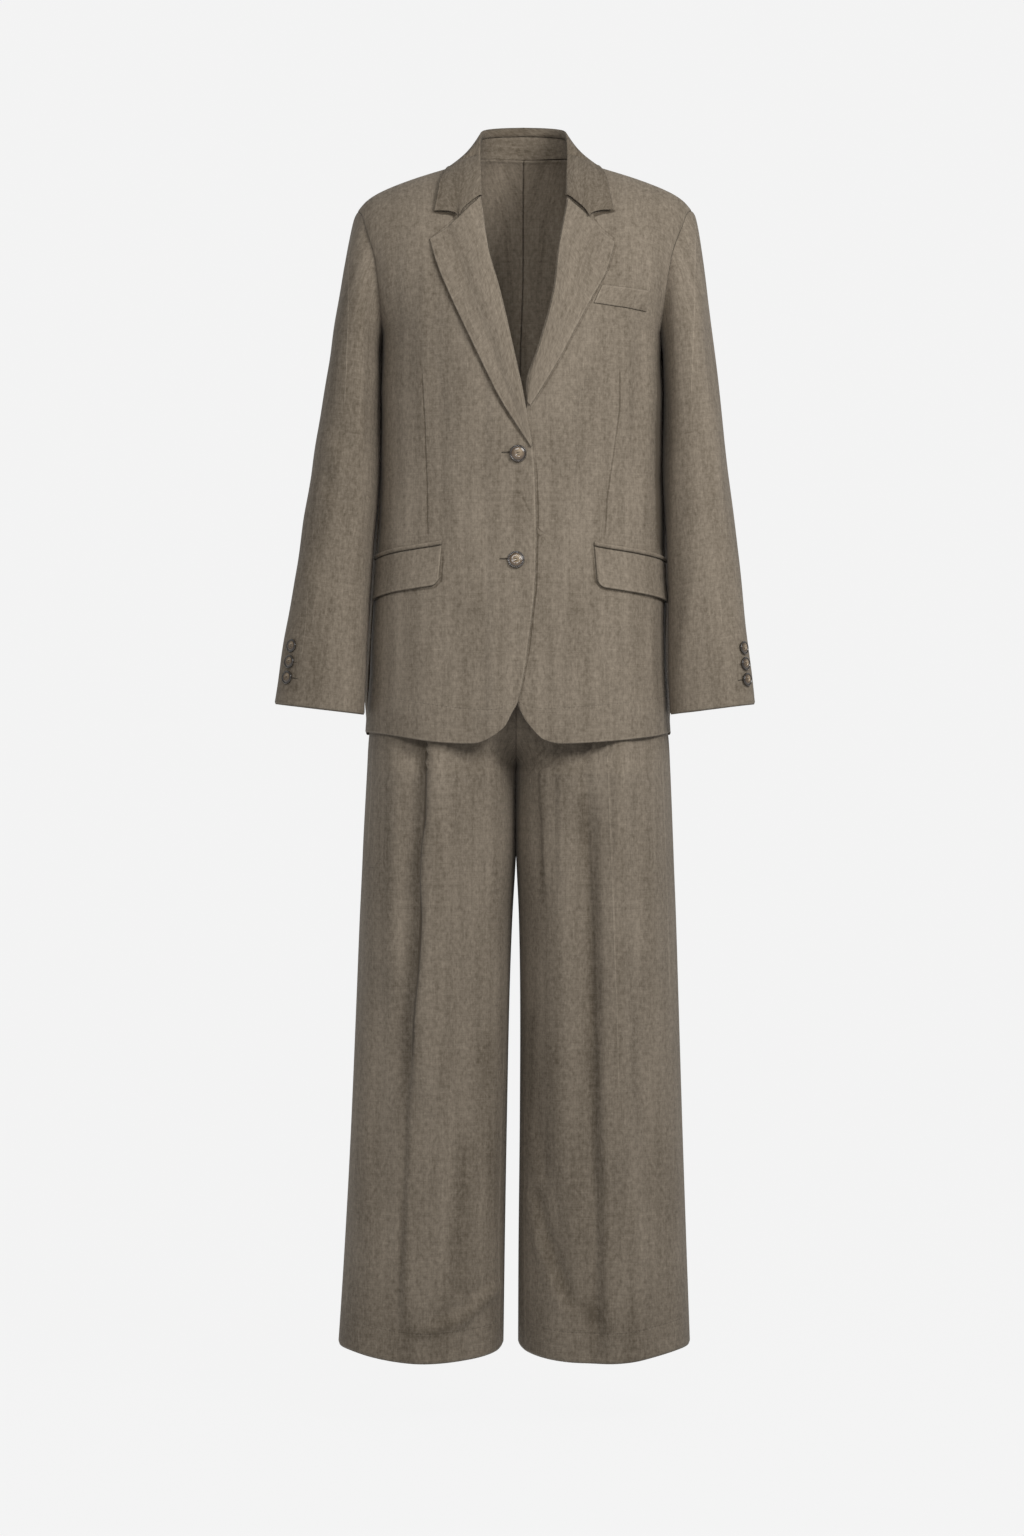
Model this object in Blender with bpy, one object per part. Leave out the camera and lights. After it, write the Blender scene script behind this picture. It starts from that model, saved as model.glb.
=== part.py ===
"""A two-button linen jacket and wide pleated trousers, filled out as on a wearer.

Sizes are in millimetres here and become metres when a mesh is made. +X is the wearer's left, the
front faces -Y and +Z is up. The origin lies between the shoulders, level with the side of the neck.
"""

import math
from bisect import bisect_right
from collections import namedtuple

import bmesh
import bpy
from mathutils import Vector

MM = 0.001
WALL = 1.5
SEAM_GAP = 0.3
STEP = 1e-4

# Driving sizes of the jacket
UNDERARM = -205
NECK_LEVEL = 15
BODY_POWER = 2.5
NECK_HALF = 57
NECK_CENTRE = -1.8
NECK_BACK_DEPTH = 66
NECK_BACK_RISE = 9
RIDGE_Y = 8
PROFILE_AT_NECK = 1.7
PROFILE_AT_SHOULDER = 2.4
SHOULDER_REACH = 145
LAP_LIFT = 2.6
LAP_START = -50
LAP_SLOPE = 14
LAP_TOP = -245
LAP_TOP_FADE = 32
BACK_HEM = -689
BACK_SEAM_X = -8.5

# Grid counts
ARMHOLE_STEPS = 9
FRONT_COLUMNS = 12
FRONT_ROWS = 14
BACK_COLUMNS = 9
BACK_ROWS = 10

# The jacket's body by level, from hem to shoulder. Above the underarm a level slopes with the
# shoulder, and armhole is how far the sleeve seam lies from the centre.
Section = namedtuple("Section", "level centre half front back armhole")
JACKET = [
    Section(-715, -8.5, 188.5, 139, 141, 188.5),
    Section(-661, -8.4, 184.4, 137, 139, 184.4),
    Section(-586, -8.6, 180.2, 133, 135, 180.2),
    Section(-522, -7.5, 178.6, 128, 129, 178.6),
    Section(-467, -6.2, 175.8, 122, 120, 175.8),
    Section(-417, -5.0, 173.0, 119, 114, 173.0),
    Section(-377, -4.5, 170.5, 119, 113, 170.5),
    Section(-281, -4.0, 169.5, 124, 118, 169.5),
    Section(-205, -4.2, 168.0, 124, 122, 168.0),
    Section(-192, -4.0, 171.0, 124, 123, 169.0),
    Section(-179, -3.8, 174.8, 123, 124, 169.6),
    Section(-151, -3.4, 183.0, 122, 125, 172.0),
    Section(-89, -2.2, 198.7, 120, 125, 179.5),
    Section(-39, -1.2, 210.0, 118, 123, 191.0),
    Section(-7, -0.8, 215.0, 117, 121, 197.5),
    Section(15, -0.5, 219.0, 116, 120, 204.0),
]

# Height of the shoulder line by distance from the centre
Shoulder = namedtuple("Shoulder", "out height")
SHOULDER = [
    Shoulder(0, 15),
    Shoulder(55, 15),
    Shoulder(95, 3),
    Shoulder(140, -11.8),
    Shoulder(175, -26.2),
    Shoulder(193, -37.6),
    Shoulder(205, -51.8),
    Shoulder(216, -68),
]

# Front edges by height: the wearer's right one laps over, then both follow the roll line up
Edge = namedtuple("Edge", "height across")
RIGHT_EDGE = [
    Edge(-690, -35),
    Edge(-680, -24),
    Edge(-665, -16),
    Edge(-652, -9),
    Edge(-619, -1.7),
    Edge(-587, 3),
    Edge(-511, 11.4),
    Edge(-423, 12.6),
    Edge(-348, 9),
    Edge(-311, 2.5),
    Edge(-275, -4),
    Edge(-221, -16),
    Edge(-160, -30),
    Edge(-111, -43.3),
    Edge(-61, -50.4),
    Edge(-42, -53),
    Edge(-10, -55),
    Edge(15, -56),
]
LEFT_EDGE = [
    Edge(-689, 13),
    Edge(-671, -1.7),
    Edge(-655, -9),
    Edge(-620, -17),
    Edge(-560, -25),
    Edge(-450, -28),
    Edge(-380, -27),
    Edge(-345, -18),
    Edge(-318, -5),
    Edge(-300, 0.8),
    Edge(-269, 0.8),
    Edge(-227, 15),
    Edge(-165, 31.7),
    Edge(-108, 38.8),
    Edge(-75, 44.8),
    Edge(-45, 49.6),
    Edge(-10, 52.0),
    Edge(15, 53.0),
]

# Hem height across each front, corner to side
Hem = namedtuple("Hem", "across height")
RIGHT_HEM = [
    Hem(-196, -686),
    Hem(-166, -690),
    Hem(-111, -698.5),
    Hem(-67, -701),
    Hem(-51.5, -698.7),
    Hem(-35, -690),
]
LEFT_HEM = [
    Hem(13, -689),
    Hem(22, -696.4),
    Hem(41, -701),
    Hem(106, -697.5),
    Hem(156, -691.6),
    Hem(180, -686),
]

# Sleeves by height, from just under the armhole to the cuff
Sleeve = namedtuple("Sleeve", "height outer inner depth centre_y")
RIGHT_SLEEVE = [
    Sleeve(-659, -302.0, -193.2, 43, -56),
    Sleeve(-573, -288.8, -189.5, 51, -47),
    Sleeve(-474, -274.2, -184.5, 60, -32),
    Sleeve(-377, -259.2, -177.5, 67, -17),
    Sleeve(-281, -245.0, -176.0, 72, -5),
    Sleeve(-225, -237.0, -175.0, 74, 0),
]
LEFT_SLEEVE = [
    Sleeve(-659, 277.4, 174.6, 43, -56),
    Sleeve(-573, 268.2, 171.5, 51, -47),
    Sleeve(-474, 258.4, 171.2, 60, -32),
    Sleeve(-377, 247.0, 168.5, 67, -17),
    Sleeve(-281, 236.7, 168.0, 72, -5),
    Sleeve(-225, 230.5, 166.6, 74, 0),
]
SLEEVE_POWER = 2.2
SLEEVE_TILT = 0.12
SLEEVE_TOP = -225
SLEEVE_CAP_ROWS = 6
SLEEVE_ROWS = 11
CUFF = -659
FRONT_SEAM_STEP = -1
HIND_SEAM_STEP = 10
CAP_OUT = 9
CAP_DROP = 5
CAP_LIFT = 92
CAP_LIFT_UNDER = 8
CAP_BLEND = 0.33
ARMHOLE_GAP = 0.4

# Trousers by height: outer edges, inner leg edges and depths
Trouser = namedtuple("Trouser", "height right_out right_in left_in left_out front back")
TROUSERS = [
    Trouser(-1440, -228.5, -26.5, -8.5, 201.5, 92, 98),
    Trouser(-1415, -226.5, -26.0, -8.5, 200.5, 93, 98),
    Trouser(-1305, -219.5, -24.5, -8.0, 196.5, 96, 100),
    Trouser(-1159, -211.5, -22.0, -6.5, 191.5, 100, 103),
    Trouser(-1013, -205.5, -19.0, -6.0, 187.0, 105, 108),
    Trouser(-915, -201.5, -15.5, -7.5, 184.0, 110, 114),
    Trouser(-835, -197.5, -11.5, -10.7, 181.0, 115, 121),
    Trouser(-735, -192.5, -11.4, -10.8, 177.0, 122, 130),
    Trouser(-690, -190.0, -11.2, -10.8, 174.5, 124, 132),
    Trouser(-640, -182.5, -11.2, -10.8, 167.0, 122, 129),
    Trouser(-560, -168.0, -11.2, -10.8, 150.0, 112, 117),
    Trouser(-465, -146.0, -11.2, -10.8, 126.0, 97, 96),
    Trouser(-428, -141.0, -11.2, -10.8, 121.0, 94, 91),
]
LEG_POWER = 2.4
CROTCH = -735
RISE_TOP = -560
RISE_CURVE = 4
WAIST_SEAM = -465
WAIST_TOP = -430
TROUSER_FRONT_COLUMNS = 14
TROUSER_BACK_COLUMNS = 8
LEG_ROWS = 11
HIP_ROWS = 7
TROUSER_WALL = 1.3

# Height of the trouser hem by share of the leg's width from the side seam to the inside leg
LegHem = namedtuple("LegHem", "share front back")
LEG_HEM = [
    LegHem(0, -1428.7, -1428.7),
    LegHem(0.08, -1430.6, -1432),
    LegHem(0.22, -1436.3, -1439),
    LegHem(0.35, -1440.8, -1444),
    LegHem(0.5, -1442.8, -1446),
    LegHem(0.67, -1441.6, -1445),
    LegHem(0.84, -1438.8, -1441),
    LegHem(0.97, -1434, -1434),
    LegHem(1, -1430.5, -1430.5),
]

# Long soft folds pressed or hanging in the trouser legs: where the fold lies at its top and its
# bottom, how wide it is and how deep the cloth dips, or stands proud where depth is negative
Fold = namedtuple("Fold", "leg top bottom across_top across_bottom width depth")
TROUSER_FOLDS = [
    Fold("right", -640, -1060, -128, -146, 16, 7),
    Fold("right", -640, -1100, -98, -116, 20, -7),
    Fold("right", -860, -1425, -58, -66, 22, 6),
    Fold("right", -1010, -1430, -172, -160, 24, 6),
    Fold("left", -640, -1000, 86, 84, 16, 7),
    Fold("left", -640, -1180, 112, 108, 20, -7),
    Fold("left", -820, -1430, 72, 80, 18, 7),
    Fold("left", -1130, -1330, 12, 42, 18, 6),
    Fold("left", -1000, -1430, 150, 158, 22, 5),
]
FOLD_FADE = 60

# The collar from the centre back round to the gorge, for both sides: the fold line, the free edge as
# a distance out and a share of the height to the shoulder, and how far the leaf bulges between them
Collar = namedtuple("Collar", "station out y height edge_out edge_rise bulge")
COLLAR = [
    Collar(0, 0, 75, 63.5, 0, 0.885, 1.5),
    Collar(1, 28, 68, 61.5, 40, 0.895, 1.5),
    Collar(2, 46, 47, 56, 76, 0.93, 0.5),
    Collar(3, 52.5, 15, 46, 91.5, 0.999, -2.6),
    Collar(4, 53.5, -13, 20, 99, 0.905, 0.0),
    Collar(5, 52.5, -40, -9, 103, 0.785, 1.5),
    Collar(6, 51.2, -66, -42.5, 107, 0.688, 1.5),
]
SIDE_NECK = 3
LEAF_LAY_SPAN = 2.2
LEAF_PUFF = 1.0
GORGE_FROM = 5
GORGE_CORNER_OUT = 77
GORGE_CORNER_HEIGHT = -73.5
GORGE_CORNER_AT = 0.5
COLLAR_CLEAR = 3.4
COLLAR_WALL = 1.5
COLLAR_STATIONS = 28
COLLAR_ACROSS = 5
STAND_END = 4.15
STAND_END_LEVEL = 7
STAND_TOP_GAP = 7
STAND_TOP_SHARE = 0.45
STAND_INSIDE = 0.985
STAND_BACK_SETBACK = 0.5
STAND_FOOT = 0.7
STAND_FRONT_FOOT = 1.5
STAND_STATIONS = 20
STAND_ACROSS = 3

# Lapels by share of their length from the gorge down: the roll line and the free edge
Lapel = namedtuple("Lapel", "share roll roll_height edge edge_height")
RIGHT_LAPEL = [
    Lapel(0.0, -54, -44.5, -80, -71),
    Lapel(0.25, -44, -108, -106, -126),
    Lapel(0.45, -31.5, -159, -89, -168),
    Lapel(0.68, -17, -221, -57, -236),
    Lapel(0.86, -5.5, -275, -29.5, -292),
    Lapel(1.0, 6.5, -339, 0.8, -341),
]
LEFT_LAPEL = [
    Lapel(0.0, 51, -46.5, 78, -74),
    Lapel(0.25, 40, -106, 97.2, -137),
    Lapel(0.45, 33, -165, 77, -174),
    Lapel(0.68, 16.5, -227, 40, -244),
    Lapel(0.86, 3.5, -266, 16, -284),
    Lapel(1.0, 2.0, -296, 5.5, -300),
]
RIGHT_LAPEL_TOP = [(-54, -44.5), (-80.5, -73), (-97, -86.5), (-113.5, -100)]
LEFT_LAPEL_TOP = [(51, -46.5), (78, -73.5), (92, -87), (107.5, -101)]
LAPEL_CLEAR = 1.1
LAPEL_WALL = 1.5
LAPEL_ROLL = 3.0
LAPEL_TOP_PART = 0.25
LAPEL_COLUMNS = 5
LAPEL_ROWS = 12

# Pockets: the flap, the jet above it and the breast welt, as places on the front
FLAP_DEPTH = 47.5
FLAP_CLEAR = 1.0
FLAP_WALL = 1.4
FLAP_COLUMNS = 9
FLAP_ROWS = 4
FLAP_CORNER = 8
FLAP_SET_BACK = 4
JET_WIDTH = 6.5
JET_CLEAR = 0.8
JET_WALL = 1.0
Pocket = namedtuple("Pocket", "side front_x front_z back_turn back_z")
POCKETS = [
    Pocket("right", -99.5, -457.7, 0.22, -470.5),
    Pocket("left", 81.5, -459.7, math.pi - 0.22, -474),
]
WELT = [(91.5, -153.5), (149, -158), (143.5, -183), (81, -176.5)]
WELT_WALL = 1.4

# Buttons
FRONT_BUTTONS = [(-8.8, -356), (-11.2, -482.8)]
FRONT_BUTTON = 20.5
FRONT_BUTTON_THICK = 3.6
CUFF_BUTTON = 15
CUFF_BUTTON_THICK = 3.0
CUFF_HEIGHTS = {"right": [-588, -607, -626], "left": [-590.5, -609.5, -628.5]}
CUFF_TURNS = {"right": math.radians(140.5), "left": math.radians(146.5)}
BUTTON_SIDES = 16
BUTTON_PROFILE = [(0, 0), (0.72, 0), (1, 0.35), (1, 0.75), (0.9, 1), (0.66, 1), (0.56, 0.74), (0, 0.74)]


def clear_scene():
    for thing in list(bpy.data.objects):
        bpy.data.objects.remove(thing, do_unlink=True)


def material(name, colour, roughness):
    made = bpy.data.materials.new(name)
    made.use_nodes = True
    shader = made.node_tree.nodes["Principled BSDF"]
    shader.inputs["Base Color"].default_value = (*colour, 1)
    shader.inputs["Roughness"].default_value = roughness
    shader.inputs["Metallic"].default_value = 0
    return made


def read(rows, column, where):
    """A column of a table at a place between its rows, on a smooth curve through them."""
    keys = [row[0] for row in rows]
    values = [getattr(row, column) for row in rows]
    where = min(max(where, keys[0]), keys[-1])
    i = min(bisect_right(keys, where) - 1, len(keys) - 2)

    def slope(k):
        low = max(k - 1, 0)
        high = min(k + 1, len(keys) - 1)
        return (values[high] - values[low]) / (keys[high] - keys[low])

    span = keys[i + 1] - keys[i]
    t = (where - keys[i]) / span
    ends = values[i] * (1 - t) ** 2 * (1 + 2 * t) + values[i + 1] * t * t * (3 - 2 * t)
    return ends + span * (slope(i) * t * (1 - t) ** 2 - slope(i + 1) * t * t * (1 - t))


def smooth(value):
    value = min(max(value, 0), 1)
    return value * value * (3 - 2 * value)


def signed_power(value, power):
    return math.copysign(abs(value) ** power, value)


def mix(a, b, share):
    return a + (b - a) * share


# The jacket's body

def shoulder_top(face, x):
    """(y, height) of the shoulder line, or at the back of the line round the neck, over this x."""
    out = abs(x - NECK_CENTRE)
    round_neck = math.sqrt(max(0, 1 - (out / NECK_HALF) ** 2)) if face > 0 else 0
    height = read(SHOULDER, "height", abs(x)) + NECK_BACK_RISE * round_neck
    return RIDGE_Y + NECK_BACK_DEPTH * round_neck, height


def lap_lift(x, z):
    """How far the right front stands out where it laps over the left one."""
    return LAP_LIFT * smooth((x - LAP_START) / LAP_SLOPE) * smooth((LAP_TOP - z) / LAP_TOP_FADE)


def ring_depth(face, level, x):
    centre = read(JACKET, "centre", level)
    half = read(JACKET, "half", level)
    depth = read(JACKET, "front" if face < 0 else "back", level)
    return face * depth * max(0, 1 - abs((x - centre) / half) ** BODY_POWER) ** (1 / BODY_POWER)


def raise_to_shoulder(face, x, ring_y, level):
    """The point of a level above the underarm, drawn in towards the shoulder line."""
    rise = min(max((level - UNDERARM) / (NECK_LEVEL - UNDERARM), 0), 1)
    top_y, top_z = shoulder_top(face, x)
    spread = min(max((abs(x) - NECK_HALF) / SHOULDER_REACH, 0), 1)
    power = mix(PROFILE_AT_NECK, PROFILE_AT_SHOULDER, spread)
    kept = max(0, 1 - rise ** power) ** (1 / power)
    return Vector((x, mix(top_y, ring_y, kept), mix(UNDERARM, top_z, rise)))


def body_point(face, turn, level):
    """turn runs from the wearer's right side, 0, over the front or the back to the left side, pi."""
    centre = read(JACKET, "centre", level)
    half = read(JACKET, "half", level)
    depth = read(JACKET, "front" if face < 0 else "back", level)
    x = centre - half * signed_power(math.cos(turn), 2 / BODY_POWER)
    y = face * depth * signed_power(math.sin(turn), 2 / BODY_POWER)
    if level <= UNDERARM:
        return Vector((x, y, level))
    return raise_to_shoulder(face, x, y, level)


def turn_at(x, level):
    centre = read(JACKET, "centre", level)
    half = read(JACKET, "half", level)
    share = min(max((centre - x) / half, -1), 1)
    return math.acos(signed_power(share, BODY_POWER / 2))


def armhole_turn(side, level):
    centre = read(JACKET, "centre", level)
    return turn_at(centre + side * read(JACKET, "armhole", level), level)


def surface_at(face, x, z, lapped=False):
    """The point of the jacket's surface at this x and height, and its outward normal."""

    def depth_at(x, z):
        top_y, top_z = shoulder_top(face, x)
        rise = max(0, (z - UNDERARM) / (top_z - UNDERARM))
        level = z if z <= UNDERARM else mix(UNDERARM, NECK_LEVEL, rise)
        ring_y = ring_depth(face, level, x)
        return ring_y if z <= UNDERARM else raise_to_shoulder(face, x, ring_y, level).y

    y = depth_at(x, z)
    reach = 0.5
    by_x = (depth_at(x + reach, z) - depth_at(x - reach, z)) / (2 * reach)
    by_z = (depth_at(x, z + reach) - depth_at(x, z - reach)) / (2 * reach)
    normal = Vector((-face * by_x, face, -face * by_z)).normalized()
    out = lap_lift(x, z) if lapped else 0
    return Vector((x, y, z)) + normal * out, normal


def front_surface(side):
    """The right front (side -1) or the left front (side 1) as a function of across and along."""
    edges, hems = (RIGHT_EDGE, RIGHT_HEM) if side < 0 else (LEFT_EDGE, LEFT_HEM)
    corner = edges[0].height
    side_turn = 0 if side < 0 else math.pi

    def hem_height(across):
        turn = mix(side_turn, turn_at(edges[0].across, corner), across)
        return read(hems, "height", body_point(-1, turn, corner).x)

    def point(across, along):
        if along <= 1:
            level = mix(hem_height(across), UNDERARM, along)
            edge_level = mix(corner, UNDERARM, along)
            outer = side_turn
        else:
            level = edge_level = mix(UNDERARM, NECK_LEVEL, min(along - 1, 1))
            outer = armhole_turn(side, level)
        turn = mix(outer, turn_at(read(edges, "across", edge_level), edge_level), across)
        place = body_point(-1, turn, level)
        if side < 0 and level < UNDERARM:
            _, normal = surface_at(-1, min(place.x, 40), place.z)
            place = place + normal * lap_lift(place.x, place.z)
        return place

    return point


def back_surface(side):
    side_turn = 0 if side < 0 else math.pi

    def point(across, along):
        if along <= 1:
            level = mix(BACK_HEM, UNDERARM, along)
            outer = side_turn
        else:
            level = mix(UNDERARM, NECK_LEVEL, min(along - 1, 1))
            outer = armhole_turn(side, level)
        middle = turn_at(mix(BACK_SEAM_X, NECK_CENTRE, smooth(along - 0.5)), level)
        return body_point(1, mix(outer, middle, across), level)

    return point


def armhole_levels():
    """Shares of the way from the underarm to the shoulder, at even steps round the armhole."""
    return [(1 - math.cos(math.pi * i / ARMHOLE_STEPS)) / 2 for i in range(ARMHOLE_STEPS + 1)]


# Walls

def normal_at(surface, a, b, b_limits):
    low = max(b - STEP, b_limits[0])
    high = min(b + STEP, b_limits[1])
    by_a = surface(a + STEP, b) - surface(a - STEP, b)
    by_b = surface(a, high) - surface(a, low)
    return by_a.cross(by_b).normalized()


def pull_back(grid, sides, amount):
    """Draws the named edges of a grid of points back from their seams, towards the next points."""
    rows = len(grid)
    columns = len(grid[0])
    pairs = {
        "start": [((j, 0), (j, 1)) for j in range(rows)],
        "end": [((j, columns - 1), (j, columns - 2)) for j in range(rows)],
        "bottom": [((0, i), (1, i)) for i in range(columns)],
        "top": [((rows - 1, i), (rows - 2, i)) for i in range(columns)],
    }
    for side in sides:
        for (j, i), (next_j, next_i) in pairs[side]:
            towards = grid[next_j][next_i] - grid[j][i]
            grid[j][i] = grid[j][i] + towards.normalized() * amount


def wall_mesh(name, outer, inner):
    """A closed wall between two grids of points, with its rim."""
    mesh = bpy.data.meshes.new(name)
    shape = bmesh.new()
    layers = [[[shape.verts.new(p * MM) for p in row] for row in grid] for grid in (outer, inner)]
    rows = len(outer)
    columns = len(outer[0])
    for layer, order in zip(layers, (1, -1)):
        for j in range(rows - 1):
            for i in range(columns - 1):
                ring = [layer[j][i], layer[j][i + 1], layer[j + 1][i + 1], layer[j + 1][i]]
                shape.faces.new(ring[::order])
    border = [(0, i) for i in range(columns)] + [(j, columns - 1) for j in range(1, rows)]
    border += [(rows - 1, i) for i in range(columns - 2, -1, -1)]
    border += [(j, 0) for j in range(rows - 2, 0, -1)]
    for (j, i), (next_j, next_i) in zip(border, border[1:] + border[:1]):
        front, back = layers
        shape.faces.new([front[j][i], back[j][i], back[next_j][next_i], front[next_j][next_i]])
    bmesh.ops.recalc_face_normals(shape, faces=shape.faces[:])
    shape.to_mesh(mesh)
    shape.free()
    return mesh


def place_mesh(name, mesh, finish):
    thing = bpy.data.objects.new(name, mesh)
    bpy.context.scene.collection.objects.link(thing)
    mesh.materials.append(finish)
    mesh.shade_smooth()
    mesh.set_sharp_from_angle(angle=math.radians(50))
    return thing


def panel(name, surface, across, along, finish, facing, wall=WALL, seams=()):
    """A cloth panel: the surface is its outer face, and the wall lies inside it."""
    limits = (along[0], along[-1])
    outer = [[surface(a, b) for a in across] for b in along]
    inner = []
    for j, b in enumerate(along):
        row = []
        for i, a in enumerate(across):
            row.append(outer[j][i] - normal_at(surface, a, b, limits) * facing * wall)
        inner.append(row)
    for grid in (outer, inner):
        pull_back(grid, seams, SEAM_GAP / 2)
    place_mesh(name, wall_mesh(name, outer, inner), finish)


def even(count, start=0.0, end=1.0):
    return [mix(start, end, i / count) for i in range(count + 1)]


def jacket_body(linen):
    upper = [1 + share for share in armhole_levels()][1:]
    for side, word in ((-1, "right"), (1, "left")):
        along = [(i / FRONT_ROWS) ** 1.3 for i in range(FRONT_ROWS + 1)] + upper
        panel(f"jacket_front_{word}", front_surface(side), even(FRONT_COLUMNS), along, linen, -side,
              seams=("start", "top"))
        along = even(BACK_ROWS) + upper
        panel(f"jacket_back_{word}", back_surface(side), even(BACK_COLUMNS), along, linen, side,
              seams=("start", "end", "top"))


# Sleeves

def sleeve_ring(rows, turn, height):
    """A point of a sleeve below the cap. turn 0 faces the body and pi/2 faces forward."""
    outer = read(rows, "outer", height)
    inner = read(rows, "inner", height)
    depth = read(rows, "depth", height)
    across = (inner - outer) / 2 * signed_power(math.cos(turn), 2 / SLEEVE_POWER)
    y = read(rows, "centre_y", height) - depth * signed_power(math.sin(turn), 2 / SLEEVE_POWER)
    lift = -SLEEVE_TILT * across * math.copysign(1, inner - outer)
    return Vector(((inner + outer) / 2 + across, y, height + lift))


def armhole_point(side, turn):
    """A point of the armhole seam, and the body's outward normal there. turn pi is the shoulder."""
    half = turn % (2 * math.pi)
    face = -1 if half <= math.pi else 1
    share = (1 - math.cos(half)) / 2
    level = mix(UNDERARM, NECK_LEVEL, share)
    body_turn = armhole_turn(side, level)
    place = body_point(face, body_turn, level)

    def nearby(a, b):
        return body_point(face, a, b)

    normal = normal_at(nearby, body_turn, level, (UNDERARM, NECK_LEVEL)) * -face
    if share < STEP:
        normal = Vector((side, 0, 0))
    return place, normal


def sleeve_surface(side, rows):
    """along runs from the cuff, 0, to the foot of the cap, 1, and to the armhole seam, 2."""

    def point(turn, along):
        if along <= 1:
            return sleeve_ring(rows, turn, mix(CUFF, SLEEVE_TOP, along))
        foot = sleeve_ring(rows, turn, SLEEVE_TOP)
        below = sleeve_ring(rows, turn, SLEEVE_TOP - 20)
        seam, _ = armhole_point(side, turn)
        seam = seam + Vector((side * ARMHOLE_GAP, 0, 0))
        height = (1 - math.cos(turn)) / 2
        near = seam + Vector((side * CAP_OUT * height, 0, -CAP_DROP))
        lift = mix(CAP_LIFT_UNDER, CAP_LIFT, height)
        far = foot + (foot - below).normalized() * lift
        t = 2 - along
        return (
            seam * (1 - t) ** 3 + near * 3 * t * (1 - t) ** 2
            + far * 3 * t * t * (1 - t) + foot * t ** 3
        )

    return point


def sleeve_piece(name, side, rows, first, last, linen):
    surface = sleeve_surface(side, rows)
    turns = [math.pi * i / ARMHOLE_STEPS for i in range(first, last + 1)]
    along = even(SLEEVE_ROWS) + even(SLEEVE_CAP_ROWS, 1, 2)[1:]
    outer = [[surface(turn, b) for turn in turns] for b in along]
    inner = []
    for j, b in enumerate(along):
        row = []
        for i, turn in enumerate(turns):
            normal = normal_at(surface, turn, b, (0, 2)) * side
            if b == 2:
                _, seam_normal = armhole_point(side, turn)
                upper = smooth((1 - math.cos(turn)) / 2 / CAP_BLEND)
                normal = (normal * (1 - upper) + seam_normal * upper).normalized()
            row.append(outer[j][i] - normal * WALL)
        inner.append(row)
    for grid in (outer, inner):
        pull_back(grid, ("start", "end"), SEAM_GAP / 2)
    place_mesh(name, wall_mesh(name, outer, inner), linen)


def sleeves(linen):
    for side, word, rows in ((-1, "right", RIGHT_SLEEVE), (1, "left", LEFT_SLEEVE)):
        for part, first, last in (
            ("top", FRONT_SEAM_STEP, HIND_SEAM_STEP),
            ("under", HIND_SEAM_STEP, 2 * ARMHOLE_STEPS + FRONT_SEAM_STEP),
        ):
            sleeve_piece(f"sleeve_{part}_{word}", side, rows, first, last, linen)


# Trousers

def trouser_fold(leg, x, z):
    """How far a leg's folds press its cloth in at this place."""
    total = 0
    for fold in TROUSER_FOLDS:
        if fold.leg != leg:
            continue
        share = (z - fold.top) / (fold.bottom - fold.top)
        middle = mix(fold.across_top, fold.across_bottom, share)
        reach = smooth((fold.top - z) / FOLD_FADE + 1) * smooth((z - fold.bottom) / FOLD_FADE + 1)
        total += fold.depth * reach * math.exp(-(((x - middle) / fold.width) ** 2))
    return total


def trouser_surface(side, face):
    """across runs from the side seam to the inside leg; along from hem, 0, by crotch, 1, to waist, 2."""
    leg = "right" if side < 0 else "left"

    def hem_height(across):
        share = (1 - signed_power(math.cos(math.pi * across), 2 / LEG_POWER)) / 2
        return read(LEG_HEM, "front" if face < 0 else "back", share)

    def point(across, along):
        if along < 1:
            z = mix(hem_height(across), CROTCH, along)
        else:
            z = mix(CROTCH, WAIST_SEAM, along - 1)
        outer = read(TROUSERS, f"{leg}_out", z)
        inner = read(TROUSERS, f"{leg}_in", z)
        depth = read(TROUSERS, "front" if face < 0 else "back", z)
        half = (inner - outer) / 2
        turn = math.pi * across
        leg_x = outer + half - half * signed_power(math.cos(turn), 2 / LEG_POWER)
        leg_y = face * depth * signed_power(math.sin(turn), 2 / LEG_POWER)
        turn = math.pi / 2 * across
        hip_x = inner + (outer - inner) * signed_power(math.cos(turn), 2 / LEG_POWER)
        hip_y = face * depth * signed_power(math.sin(turn), 2 / LEG_POWER)
        legs = min(max((RISE_TOP - z) / (RISE_TOP - CROTCH), 0), 1) ** RISE_CURVE
        place = Vector((mix(hip_x, leg_x, legs), mix(hip_y, leg_y, legs), z))
        if face < 0:
            place.y += trouser_fold(leg, place.x, z) * smooth(abs(place.y) / 60)
        return place

    return point


def trousers(linen):
    for side, word in ((-1, "right"), (1, "left")):
        for face, part in ((-1, "front"), (1, "back")):
            facing = -side if face < 0 else side
            columns = TROUSER_FRONT_COLUMNS if face < 0 else TROUSER_BACK_COLUMNS
            panel(f"trouser_{part}_{word}", trouser_surface(side, face), even(columns),
                  even(LEG_ROWS) + even(HIP_ROWS, 1, 2)[1:], linen, facing, TROUSER_WALL, ("start", "end"))

    def band(across, along):
        z = mix(WAIST_SEAM + SEAM_GAP, WAIST_TOP, along)
        left = read(TROUSERS, "left_out", z)
        right = read(TROUSERS, "right_out", z)
        turn = 2 * math.pi * across - math.pi / 2
        depth = read(TROUSERS, "front" if math.sin(turn) < 0 else "back", z)
        x = (left + right) / 2 + (left - right) / 2 * signed_power(math.cos(turn), 2 / LEG_POWER)
        return Vector((x, depth * signed_power(math.sin(turn), 2 / LEG_POWER), z))

    panel("waistband", band, even(28), even(2), linen, 1, seams=("start", "end"))


# Collar

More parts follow.
